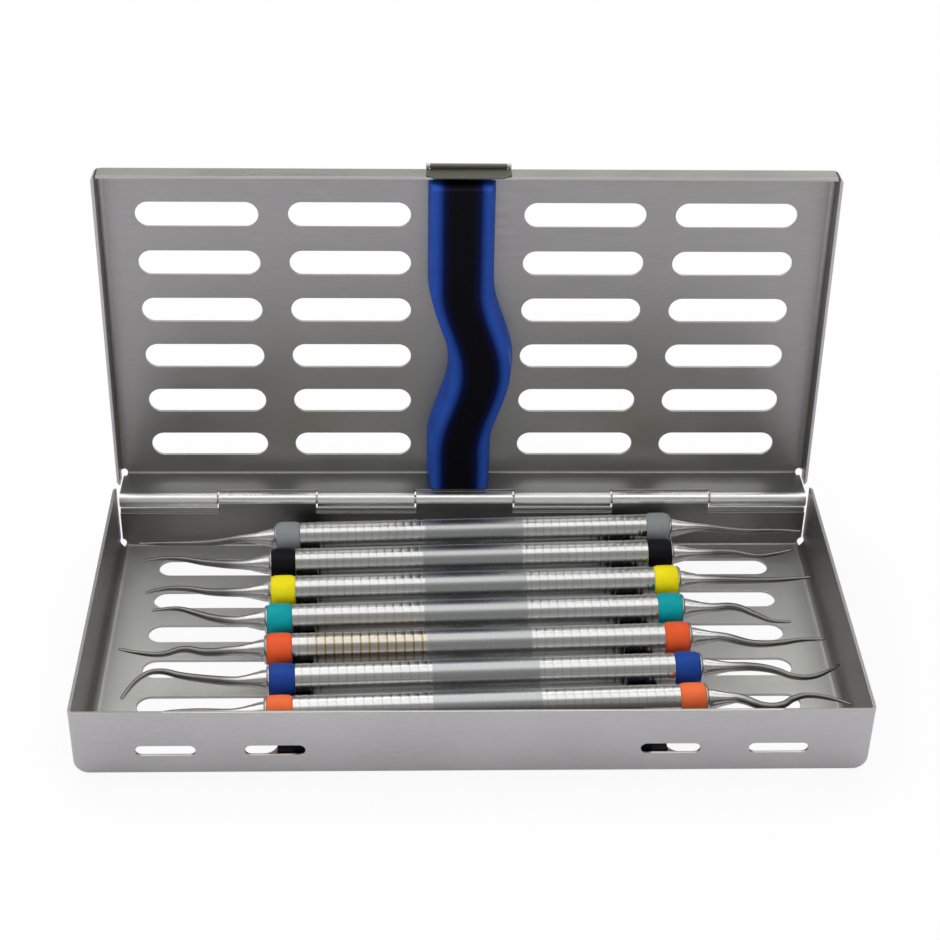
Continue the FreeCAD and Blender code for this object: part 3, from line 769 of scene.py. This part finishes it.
# painted shade: the latch's steel takes a tone far darker than the case steel's
SHADED_LATCH_STEEL = SheetSteel("latch_steel", (0.145, 0.145, 0.115, 1.0), smooth=0.38, rough=0.5)
PIN_STEEL = WorkedSteel("pin_steel", (0.52, 0.51, 0.50, 1.0), smooth=0.22, rough=0.34)
HANDLE_STEEL = TurnedSteel(
    "instrument_steel", (0.56, 0.56, 0.55, 1.0), middle=(0.40, 0.405, 0.405, 1.0)
)
GILT_STEEL = replace(HANDLE_STEEL, name="instrument_gilt_steel", gilt=(0.36, 0.25, 0.10, 1.0))
END_STEEL = WorkedSteel("end_steel", (0.60, 0.595, 0.58, 1.0))
STRIP_RUBBER = TwoToneRubber(
    "blue_silicone", linear(38, 78, 168), smooth=0.45, rough=0.6, level=0.05
)
RACK_RUBBER = Rubber("black_silicone", linear(7, 7, 11), smooth=0.45, rough=0.6, level=0.1)


class Materials:
    """Each finish made once."""

    def __init__(self) -> None:
        """Starts with no finish made."""
        self.made: dict[str, bpy.types.Material] = {}

    def dress(self, piece: bpy.types.Object, finish: Finish) -> None:
        """Gives a piece one finish all over.

        Args:
            piece: the piece.
            finish: the finish, made at its first use.
        """
        if finish.name not in self.made:
            self.made[finish.name] = finish.make()
        piece.data.materials.clear()
        piece.data.materials.append(self.made[finish.name])


MATERIALS = Materials()


def place_piece(piece: bpy.types.Object, body: str, node: str) -> None:
    """Hangs a finished piece on its body in place of its model node.

    Args:
        piece: the finished piece.
        body: body that it moves with.
        node: model node that it stands for.
    """
    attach(piece, body)
    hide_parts(node)
    LOG.info("%s: %d faces, rides on %s", piece.name, len(piece.data.polygons), body)


def cuts_at(places: Sequence[float]) -> list[Cut]:
    """Returns upright cuts across the part at places along X."""
    return [(Vector((place, 0, 0)), Vector((1, 0, 0))) for place in places]


def cut_through(joint: str) -> Cut:
    """Returns an upright cut along a hinge's own line."""
    return Vector(joint_named(joint)["pos_m"]), Vector((0, 1, 0))


def at_relief(place: Vector) -> bool:
    """Returns whether a place is at a corner relief, by the hinge or at the lid's front edge."""
    beside_hinge = place.y > RELIEF_BACK and place.z < RELIEF_TOP
    return abs(place.x) > RELIEF_SIDE and (beside_hinge or place.z > RELIEF_LID_EDGE)


def from_node(node: str, name: str, width: float, cuts: Sequence[Cut],
              segments: int = 2) -> bpy.types.Object:
    """Makes a piece from a model node, with its flats in large faces and its edges broken.

    Args:
        node: model node to start from.
        name: name of the piece.
        width: width of the broken edge in metres.
        cuts: cuts through the openings, so that no large face closes over one.
        segments: faces across the broken edge.

    Returns:
        The piece, in its place.
    """
    piece = twin(frame["nodes"][node], name)
    piece.parent = None
    for key in list(piece.keys()):
        del piece[key]
    open_up(piece)
    bpy.ops.mesh.remove_doubles(threshold=NODE_MERGE)
    bpy.ops.mesh.customdata_custom_splitnormals_clear()
    for place, across in cuts:
        bpy.ops.mesh.select_all(action="SELECT")
        bpy.ops.mesh.bisect(plane_co=place, plane_no=across, threshold=MERGE)
        bpy.ops.mesh.mark_seam(clear=False)
    bpy.ops.mesh.select_all(action="SELECT")
    bpy.ops.mesh.dissolve_limited(angle_limit=math.radians(NODE_FLAT_ANGLE), delimit={"SEAM"})
    bpy.ops.object.mode_set(mode="OBJECT")
    soften(piece, width, segments, NODE_EDGE_ANGLE, at_relief)
    return piece


@dataclass
class SheetCase:
    """Base tray, lid and pins of steel.

    The slots and pegs are places along X of the openings, and the other sizes tell the inside from
    the outside. The lid's are those of a lid drawn shut with the hinge at the origin.
    """

    edge: float = 0.14 * MM
    floor_slots: tuple[float, float] = (20.5 * MM, 61.5 * MM)
    front_slots: tuple[float, float] = (44.5 * MM, 69.0 * MM)
    rack_pegs: float = 40.5 * MM
    lid_slots: tuple[float, float] = (28.8 * MM, 65.9 * MM)
    strip_pegs: float = -1.5 * MM
    inner_half: float = 89.25 * MM
    tray_half: float = 42.45 * MM
    underside: float = 0.4 * MM
    floor_top: float = 0.96 * MM
    lid_front: float = -86.8 * MM
    lid_level: float = 10.2 * MM
    # share of the painted shade on the lid's inner faces
    lid_shade_share: float = 0.64
    barrel_reach: float = 2.0 * MM

    def build(self) -> None:
        """Builds the tray and the lid and dresses the pins."""
        tray_places = (*self.floor_slots, *self.front_slots, self.rack_pegs)
        tray = cuts_at([side * place for side in (-1, 1) for place in tray_places])
        lid = cuts_at([side * place for side in (-1, 1) for place in self.lid_slots])
        lid += cuts_at([self.strip_pegs])
        hinge, latch = cut_through("lid_hinge"), cut_through("latch_hinge")
        for node, body, inside, cuts in (
            ("base_tray", "base", self.in_tray, [*tray, hinge]),
            ("lid_pan", "lid", self.in_lid, [*lid, hinge, latch]),
        ):
            shell = from_node(node, node.replace("_", ".") + ".shell", self.edge, cuts)
            # the inner faces take painted shade, a darker tone, and a rougher finish
            mark(shell, "inside", inside, by_face=True)
            mark(shell, "lighter_floor", self.on_floor, by_face=True)
            # the hinge's barrels take a painted highlight
            mark(shell, "painted_highlight", self.on_barrel, by_face=True)
            MATERIALS.dress(shell, CASE_STEEL)
            place_piece(shell, body, node)
        for node in ("hinge_pin", "latch_pin"):
            MATERIALS.dress(frame["nodes"][node], PIN_STEEL)

    def in_tray(self, point: Vector) -> float:
        """Returns 1 on the inner faces of the tray, which take painted shade, and 0 elsewhere."""
        within = abs(point.x) < self.inner_half and abs(point.y) < self.tray_half
        return 1.0 if within and point.z > self.underside else 0.0

    def in_lid(self, point: Vector) -> float:
        """Tells the inside of the lid from its outside.

        Args:
            point: a place on the open lid.

        Returns:
            The lid's lesser share of painted shade on its inner faces, and 0 elsewhere.
        """
        shut = lid_placement().inverted() @ point
        within = abs(shut.x) < self.inner_half and shut.y > self.lid_front
        return self.lid_shade_share if within and shut.z < self.lid_level else 0.0

    def on_floor(self, point: Vector) -> float:
        """Returns 1 on the tray's floor, which takes a lighter, rougher tone, and 0 elsewhere."""
        return 1.0 if self.underside < point.z < self.floor_top else 0.0

    def on_barrel(self, point: Vector) -> float:
        """Returns 1 on the hinge's barrels, which take a painted highlight, and 0 elsewhere."""
        across = middle_of("hinge_pin") - point
        return 1.0 if math.hypot(across.y, across.z) < self.barrel_reach else 0.0


@dataclass
class Latch:
    """The latch flap on the lid's front edge, its steel darkened by painted shade."""

    edge: float = 0.12 * MM

    def build(self) -> None:
        """Builds the flap."""
        cuts = [cut_through("latch_hinge")]
        flap = from_node("latch_flap", "latch.flap", self.edge, cuts)
        MATERIALS.dress(flap, SHADED_LATCH_STEEL)
        place_piece(flap, "latch", "latch_flap")


@dataclass
class Racks:
    """The two notched rubber racks that carry the handles."""

    edge: float = 0.35 * MM
    edge_steps: int = 3

    def build(self) -> None:
        """Builds both racks."""
        for side in Side:
            node = f"rack_{side.label}"
            rack = from_node(node, f"rack.{side.label}", self.edge, [], self.edge_steps)
            MATERIALS.dress(rack, RACK_RUBBER)
            place_piece(rack, "base", node)


@dataclass
class HoldDownStrip:
    """The waved rubber strip inside the lid, drawn as it lies when the lid is shut."""

    root_half: float = 8.25 * MM
    crown_half: float = 7.2 * MM
    root_level: float = 10.15 * MM
    crown_level: float = 0.2 * MM
    back: float = -2.6 * MM
    front: float = -86.1 * MM
    centre: float = -1.5 * MM
    bulge: float = 5.2 * MM
    bulge_back: float = 36.5 * MM
    bulge_half: float = 23.0 * MM
    corner: float = 1.6 * MM
    corner_steps: int = 6
    edge: float = 0.6 * MM
    edge_steps: int = 3
    edge_angle: float = 50.0
    steps: int = 72
    peg_end: float = 6.9 * MM
    peg_radius: float = 1.5 * MM
    peg_length: float = 0.6 * MM
    peg_root: float = 1.0 * MM
    peg_edge: float = 0.2 * MM
    peg_sides: int = 40

    def centre_at(self, along: float) -> float:
        """Returns the middle line's X at a place along Y, in front of the hinge."""
        off = min(abs(along + self.bulge_back) / self.bulge_half, 1.0)
        return self.centre + self.bulge * (1 + math.cos(math.pi * off)) / 2

    def aside_at(self, point: Vector) -> float:
        """Returns how far a place is from the middle line, as a share of the half width."""
        return (point.x - self.centre_at(point.y)) / self.root_half

    def build(self) -> None:
        """Draws the section out along the wave, marks it across and tips it up with the lid."""
        start_clean()
        tall = self.root_level - self.crown_level
        middle_level = self.crown_level + tall / 2
        bpy.ops.mesh.primitive_plane_add(
            size=1, location=(self.centre_at(self.back), self.back, middle_level),
            rotation=(math.pi / 2, 0, 0),
        )
        strip = named(bpy.context.object, "wave.strip")
        strip.scale = (2 * self.root_half, tall, 1)
        bpy.ops.object.transform_apply(location=True, rotation=True, scale=True)
        open_up(strip)
        pick(strip, lambda point: point.z < middle_level)
        bpy.ops.transform.resize(value=(self.crown_half / self.root_half, 1, 1))
        bpy.ops.mesh.bevel(affect="VERTICES", offset=self.corner, segments=self.corner_steps)
        bpy.ops.mesh.select_all(action="SELECT")
        step = (self.front - self.back) / self.steps
        for index in range(self.steps):
            here = self.back + index * step
            move = (self.centre_at(here + step) - self.centre_at(here), step, 0)
            bpy.ops.mesh.extrude_region_move(TRANSFORM_OT_translate={"value": move})
        close_up()
        soften(strip, self.edge, self.edge_steps, self.edge_angle)
        for along in (self.back - self.peg_end, self.front + self.peg_end):
            self.add_peg(strip, along)
        mark(strip, "aside", self.aside_at)
        settle(strip, lid_placement())
        MATERIALS.dress(strip, STRIP_RUBBER)
        place_piece(strip, "lid", "wave_strip")

    def add_peg(self, strip: bpy.types.Object, along: float) -> None:
        """Grows a peg on the strip's root, which plugs into a hole in the lid.

        Args:
            strip: the strip, drawn as it lies when the lid is shut.
            along: the peg's place along Y.
        """
        start_clean()
        level = self.root_level + (self.peg_length - self.peg_root) / 2
        bpy.ops.mesh.primitive_cylinder_add(
            vertices=self.peg_sides, radius=self.peg_radius,
            depth=self.peg_root + self.peg_length, location=(self.centre_at(along), along, level),
        )
        peg = named(bpy.context.object, "strip_peg")
        bpy.ops.object.transform_apply(location=True, rotation=True, scale=True)
        soften(peg, self.peg_edge, self.edge_steps, self.edge_angle)
        take(strip)
        growth = strip.modifiers.new("peg", "BOOLEAN")
        growth.operation = "UNION"
        growth.object = peg
        bpy.ops.object.modifier_apply(modifier=growth.name)
        scrap(peg)
        smooth_over(strip)


@dataclass
class Handle:
    """A turned handle with a plain middle, ring grooves and a seat for each band."""

    radius: float = 3.75 * MM
    end: float = 50.85 * MM
    plain_half: float = 12.5 * MM
    grooves: int = 15
    groove_pitch: float = 2.08 * MM
    groove_width: float = 0.6 * MM
    groove_depth: float = 0.1 * MM
    groove_slope: float = 0.28 * MM
    band_middle: float = 47.25 * MM
    band_width: float = 6.0 * MM
    seat_radius: float = 3.3 * MM
    seat_margin: float = 0.2 * MM
    collar_drop: float = 0.1 * MM
    lip: float = 0.5 * MM
    edge: float = 0.06 * MM
    edge_steps: int = 2
    edge_angle: float = 25.0
    sides: int = 56

    def half_profile(self) -> list[Station]:
        """Works out the right half.

        Returns:
            Its stations, from the middle out.
        """
        low = self.radius - self.groove_depth
        outer = self.groove_width / 2
        inner = outer - self.groove_slope
        stations = [(self.plain_half / 2, self.radius)]
        for index in range(self.grooves):
            here = self.plain_half + (index + 0.5) * self.groove_pitch
            stations += [
                (here - outer, self.radius), (here - inner, low),
                (here + inner, low), (here + outer, self.radius),
            ]
        seat_in = self.band_middle - self.band_width / 2
        seat_out = self.band_middle + self.band_width / 2
        collar = self.radius - self.collar_drop
        stations += [
            (seat_in, self.radius), (seat_in, self.seat_radius), (seat_out, self.seat_radius),
            (seat_out, collar), (self.end - self.lip, collar), (self.end, self.radius - self.lip),
        ]
        return stations

    def build(self) -> bpy.types.Object:
        """Turns the handle and marks it for its finish.

        Returns:
            The master handle, along X about the origin.
        """
        handle = turned("handle_master", both_halves(self.half_profile()), self.sides)
        soften(handle, self.edge, self.edge_steps, self.edge_angle)
        mark(handle, "along", lambda point: point.x)
        mark(handle, "depth", self.depth_at)
        return handle

    def depth_at(self, point: Vector) -> float:
        """Tells how deep a place lies in a groove.

        Args:
            point: a place on the handle.

        Returns:
            A share from 0 at the surface to 1 at the bottom, and 0 at the seats and beyond.
        """
        grooved = self.band_middle - self.band_width / 2 - self.seat_margin
        sunk = self.radius - math.hypot(point.y, point.z)
        return min(max(sunk / self.groove_depth, 0.0), 1.0) if abs(point.x) < grooved else 0.0


@dataclass
class CodeBand:
    """A coloured silicone band, slightly barrelled, with rounded edges."""

    inner: float = 3.33 * MM
    outer: float = 3.95 * MM
    shoulder: float = 3.52 * MM
    half: float = 2.97 * MM
    crown: float = 0.07 * MM
    crown_edge: float = 0.9 * MM
    edge: float = 0.22 * MM
    edge_steps: int = 3
    edge_angle: float = 20.0
    sides: int = 48

    def build(self) -> bpy.types.Object:
        """Turns the band.

        Returns:
            The master band, along X about the origin.
        """
        half = [
            (self.half / 3, self.outer), (self.half - self.crown_edge, self.outer - self.crown),
            (self.half, self.shoulder), (self.half, self.inner),
        ]
        band = turned("band_master", both_halves(half), self.sides, hollow=True)
        soften(band, self.edge, self.edge_steps, self.edge_angle)
        return band


@dataclass
class WorkingEnd:
    """A cone that narrows to a thin bent shank with a flattened tip.

    The cone's shares are places along it with what is left of its fall to the neck.
    """

    start: float = 50.85 * MM
    cone: float = 7.0 * MM
    cone_shares: tuple[Station, ...] = (
        (0.0, 1.0), (0.12, 0.98), (0.4, 0.6), (0.7, 0.22), (1.0, 0.0)
    )
    reach: float = 34.0 * MM
    sway: float = 6.0 * MM
    cone_radius: float = 2.5 * MM
    neck_radius: float = 1.15 * MM
    tip_radius: float = 0.4 * MM
    tip_length: float = 0.25 * MM
    tip_share: float = 0.55
    flat_length: float = 5.0 * MM
    flat_steps: int = 6
    flat_share: float = 0.91
    round_steps: int = 6
    bend_steps: int = 10
    smooth_angle: float = 50.0
    painted_shade_from: float = 0.55

    def route(self, side: Side, shares: Sequence[Station]) -> list[tuple[Vector, float]]:
        """Works out the points that the shank bends through, with their radii.

        Args:
            side: which end of the handle.
            shares: reach and sway of each bend, as shares of the longest.

        Returns:
            Points with radii, from the handle out.
        """
        along = Vector((side.value, 0, 0))
        first = along * self.start
        fall = self.cone_radius - self.neck_radius
        cone = [
            (first + along * self.cone * share, self.neck_radius + fall * left)
            for share, left in self.cone_shares
        ]
        bends = [
            first + along * self.reach * out + Vector((0, self.sway * back, 0))
            for out, back in shares
        ]
        lengths = [0.0]
        for here, after in zip([cone[-1][0]] + bends, bends):
            lengths.append(lengths[-1] + (after - here).length)
        narrowing = self.tip_radius - self.neck_radius
        shank = [
            (point, self.neck_radius + narrowing * length / lengths[-1])
            for point, length in zip(bends, lengths[1:])
        ]
        lead = (bends[-1] - bends[-2]).normalized()
        tip = (bends[-1] + lead * self.tip_length, self.tip_radius * self.tip_share)
        return [*cone, *shank, tip]

    def build(self, name: str, side: Side, shares: Sequence[Station]) -> bpy.types.Object:
        """Draws a round bar along the route and flattens its tip.

        Args:
            name: name of the piece.
            side: which end of the handle.
            shares: the bends.

        Returns:
            The piece, on a handle that lies along X about the origin.
        """
        route = self.route(side, shares)
        start_clean()
        bpy.ops.curve.primitive_bezier_curve_add()
        bar = bpy.context.object
        line = bar.data.splines[0]
        line.bezier_points.add(len(route) - 2)
        for knot, (point, radius) in zip(line.bezier_points, route):
            knot.co = point
            knot.radius = radius / MM
            knot.handle_left_type = knot.handle_right_type = "AUTO"
        bar.data.bevel_depth = MM
        bar.data.bevel_resolution = self.round_steps
        bar.data.resolution_u = self.bend_steps
        bar.data.use_fill_caps = True
        bpy.ops.object.convert(target="MESH")
        bar = named(bpy.context.object, name)
        open_up(bar)
        bpy.ops.mesh.remove_doubles(threshold=MERGE)
        tip = route[-1][0]
        for step in range(self.flat_steps):
            length = self.flat_length * (1 - step / self.flat_steps)
            pick(bar, lambda point: (point - tip).length < length)
            bpy.ops.transform.resize(value=(1, 1, self.flat_share), center_override=tip)
        close_up()
        bpy.ops.object.shade_smooth_by_angle(angle=math.radians(self.smooth_angle))
        # the share of painted shade on the thin shank
        mark(bar, "thin", self.painted_shade_at)
        return bar

    def painted_shade_at(self, point: Vector) -> float:
        """Returns the share of painted shade, 0 on the cone, rising to 1 along the first of the
        thin shank.
        """
        past = (abs(point.x) - self.start - self.painted_shade_from * self.cone) / self.cone
        return min(max(past, 0.0), 1.0)


LEFT_BENDS: tuple[tuple[Station, ...], ...] = (
    ((0.50, -0.27), (0.76, -0.25), (1.00, -0.17)),
    ((0.45, 0.20), (0.66, 0.53), (0.79, 0.57), (0.91, 0.47)),
    ((0.42, 0.08), (0.59, 0.33), (0.73, 0.37), (0.88, 0.15)),
    ((0.37, 0.23), (0.48, 0.53), (0.62, 0.88), (0.80, 0.82)),
    ((0.40, -0.05), (0.56, 0.17), (0.71, -0.10), (0.88, 0.05), (1.00, 0.30)),
    ((0.42, 0.20), (0.58, 0.43), (0.74, 0.73), (0.83, 0.57), (0.97, -0.80)),
    ((0.50, 0.15), (0.73, 0.03), (0.91, -0.42)),
)
RIGHT_BENDS: tuple[tuple[Station, ...], ...] = (
    ((0.56, -0.37), (0.76, -0.38), (0.99, -0.50)),
    ((0.45, -0.02), (0.63, -0.30), (0.76, -0.20), (0.90, 0.07)),
    ((0.57, -0.12), (0.76, -0.12), (0.98, 0.02)),
    ((0.38, 0.00), (0.52, -0.57), (0.61, -0.93), (0.74, -1.03)),
    ((0.45, -0.50), (0.64, -0.47), (0.76, -0.35), (0.94, -0.32)),
    ((0.39, -0.07), (0.52, -0.33), (0.62, -0.68), (0.76, -0.73), (0.96, -0.08)),
    ((0.39, -0.53), (0.50, -0.47), (0.59, -0.13), (0.70, 0.03), (0.97, -0.53)),
)


@dataclass
class InstrumentSet:
    """The seven instruments, each a handle with two bands and two working ends."""

    gilt_index: int = 4

    def placement(self, body: str) -> Matrix:
        """Works out where an instrument lies, from its handle and its two bands.

        Args:
            body: the instrument's name in the frame.

        Returns:
            The move from a handle along X about the origin to the instrument.
        """
        line = middle_of(body + "_ring_right") - middle_of(body + "_ring_left")
        turn = Matrix.Rotation(math.atan2(line.y, line.x), 4, "Z")
        return Matrix.Translation(middle_of(body + "_handle")) @ turn

    def build(self) -> None:
        """Builds the masters once, then copies and places them."""
        handle, band, end = Handle().build(), CodeBand().build(), WorkingEnd()
        for index, colour in enumerate(BandColour):
            body = f"instrument_{index + 1}"
            placement = self.placement(body)
            grip = twin(handle, body + ".handle")
            settle(grip, placement)
            MATERIALS.dress(grip, GILT_STEEL if index == self.gilt_index else HANDLE_STEEL)
            place_piece(grip, body, body + "_handle")
            for side, bends in ((Side.LEFT, LEFT_BENDS), (Side.RIGHT, RIGHT_BENDS)):
                ring = twin(band, f"{body}.band.{side.label}")
                shift = Matrix.Translation((side.value * Handle.band_middle, 0, 0))
                settle(ring, placement @ shift)
                MATERIALS.dress(ring, Rubber(colour.slot, colour.colour))
                place_piece(ring, body, f"{body}_ring_{side.label}")
                bar = end.build(f"{body}.end.{side.label}", side, bends[index])
                settle(bar, placement)
                MATERIALS.dress(bar, END_STEEL)
                place_piece(bar, body, f"{body}_end_{side.label}")
        scrap(handle)
        scrap(band)


@dataclass
class PhotoCamera:
    """The camera at the photograph's viewpoint, with its angles in degrees."""

    place: tuple[float, float, float] = (-15.29 * MM, -375.175 * MM, 312.897 * MM)
    yaw: float = 2.265
    pitch: float = 34.619
    roll: float = 1.237
    focal_pixels: float = 1988.794
    image_pixels: float = 940.0
    sensor: float = 36.0
    near: float = 10.0 * MM

    def build(self) -> None:
        """Adds the camera and makes it the scene's own."""
        yaw, pitch, roll = (math.radians(angle) for angle in (self.yaw, self.pitch, self.roll))
        forward = math.cos(pitch)
        ahead = Vector((math.sin(yaw) * forward, math.cos(yaw) * forward, -math.sin(pitch)))
        level = Vector((math.cos(yaw), -math.sin(yaw), 0))
        above = level.cross(ahead)
        right = level * math.cos(roll) + above * math.sin(roll)
        upward = above * math.cos(roll) - level * math.sin(roll)
        start_clean()
        bpy.ops.object.camera_add()
        camera = bpy.context.object
        camera.name = "photo_camera"
        camera.data.sensor_width = self.sensor
        camera.data.sensor_fit = "HORIZONTAL"
        camera.data.lens = self.focal_pixels / self.image_pixels * self.sensor
        camera.data.clip_start = self.near
        turn = Matrix((right, upward, -ahead)).transposed().to_4x4()
        camera.matrix_world = Matrix.Translation(self.place) @ turn
        bpy.context.scene.camera = camera


@dataclass(frozen=True)
class Lamp:
    """A soft oblong lamp, with its place, aim and size in metres and its power in watts.

    Polished surfaces show it where it is mirrored.
    """

    name: str
    place: tuple[float, float, float]
    aim: tuple[float, float, float]
    size: tuple[float, float]
    power: float
    mirrored: bool = True

    def build(self) -> None:
        """Hangs the lamp and turns it to its aim."""
        start_clean()
        bpy.ops.object.light_add(type="AREA", location=self.place)
        lamp = bpy.context.object
        lamp.name = self.name
        lamp.data.shape = "RECTANGLE"
        lamp.data.size, lamp.data.size_y = self.size
        lamp.data.energy = self.power
        lamp.visible_glossy = self.mirrored
        beam = Vector(self.aim) - Vector(self.place)
        lamp.rotation_euler = beam.to_track_quat("-Z", "Y").to_euler()


@dataclass
class Studio:
    """A white floor, a white room and soft lamps.

    The room's stops are heights from eye level to overhead, with what polished steel reflects.
    """

    floor_size: float = 4.0
    floor_colour: Colour = (0.87, 0.845, 0.93, 1.0)
    seen_glow: float = 0.9
    mirrored_glow: float = 0.05
    room_light: float = 0.55
    room_stops: tuple[tuple[float, Colour], ...] = (
        (0.0, (0.95, 0.95, 0.95, 1.0)),
        (0.12, (0.8, 0.8, 0.788, 1.0)),
        (0.4, (0.42, 0.42, 0.4137, 1.0)),
        (0.7, (0.35, 0.35, 0.34475, 1.0)),
        (1.0, (0.5, 0.5, 0.49, 1.0)),
    )
    lamps: tuple[Lamp, ...] = (
        Lamp("overhead_softbox", (0.0, 0.0, 0.9), (0.0, 0.0, 0.0), (2.0, 0.6), 4.3),
        Lamp("back_softbox", (-0.12, 0.52, 0.74), (0.0, 0.0, 0.0), (2.0, 0.5), 4.9),
        Lamp("front_fill", (-0.25, -0.9, 0.5), (0.0, 0.0, 0.03), (0.8, 0.5), 3.0, mirrored=False),
    )

    def glow_share(self, wiring: Wiring) -> bpy.types.NodeSocket:
        """Works out how much a ray sees of the floor's own white.

        Args:
            wiring: the nodes of the floor's material.

        Returns:
            A share, most from the camera or through clear glass, and little in reflections.
        """
        path = wiring.add("ShaderNodeLightPath").outputs
        total = wiring.sum(path["Is Camera Ray"], self.seen_glow, "MULTIPLY")
        for ray, glow in (("Is Transmission Ray", self.seen_glow),
                          ("Is Glossy Ray", self.mirrored_glow)):
            total = wiring.sum(total, wiring.sum(path[ray], glow, "MULTIPLY"), "MAXIMUM")
        return total

    def build_floor(self) -> None:
        """Lays the floor, which shows white but keeps a faint shadow."""
        start_clean()
        bpy.ops.mesh.primitive_plane_add(size=self.floor_size)
        floor = named(bpy.context.object, "studio_floor")
        material = bpy.data.materials.new("studio_floor")
        material.use_nodes = True
        wiring = Wiring(material.node_tree, emptied=True)
        matt = wiring.add("ShaderNodeBsdfDiffuse", {"Color": self.floor_colour}).outputs[0]
        glow = wiring.add("ShaderNodeEmission", {"Strength": 1.0}).outputs[0]
        surface = wiring.overlay(self.glow_share(wiring), matt, glow)
        wiring.add("ShaderNodeOutputMaterial", {"Surface": surface})
        floor.data.materials.append(material)

    def build_room(self) -> None:
        """Makes the room white to the camera, paler at eye level than overhead in reflections."""
        world = bpy.data.worlds.new("studio_room")
        bpy.context.scene.world = world
        world.use_nodes = True
        wiring = Wiring(world.node_tree, emptied=True)
        path = wiring.add("ShaderNodeLightPath").outputs
        place = wiring.add("ShaderNodeTexCoord").outputs["Generated"]
        height = wiring.add("ShaderNodeSeparateXYZ", {0: place}).outputs["Z"]
        tone = wiring.ramp(height, self.room_stops)
        room = wiring.add("ShaderNodeBackground", {"Color": tone, "Strength": 1.0}).outputs[0]
        fill = wiring.add("ShaderNodeBackground", {"Strength": self.room_light}).outputs[0]
        white = wiring.add("ShaderNodeBackground", {"Color": WHITE, "Strength": 1.0}).outputs[0]
        unseen = wiring.overlay(path["Is Glossy Ray"], fill, room)
        surface = wiring.overlay(path["Is Camera Ray"], unseen, white)
        wiring.add("ShaderNodeOutputWorld", {"Surface": surface})

    def build(self) -> None:
        """Builds the floor, the room and the lamps."""
        self.build_floor()
        self.build_room()
        for lamp in self.lamps:
            lamp.build()
        bpy.context.scene.view_settings.view_transform = "Standard"


def main() -> None:
    """Builds the sub-assemblies in order and reports each piece."""
    logging.basicConfig(level=logging.INFO, format="%(name)s: %(message)s")
    PhotoCamera().build()
    Studio().build()
    for part in (SheetCase(), HoldDownStrip(), Latch(), Racks(), InstrumentSet()):
        part.build()
    start_clean()


if __name__ == "__main__":
    main()
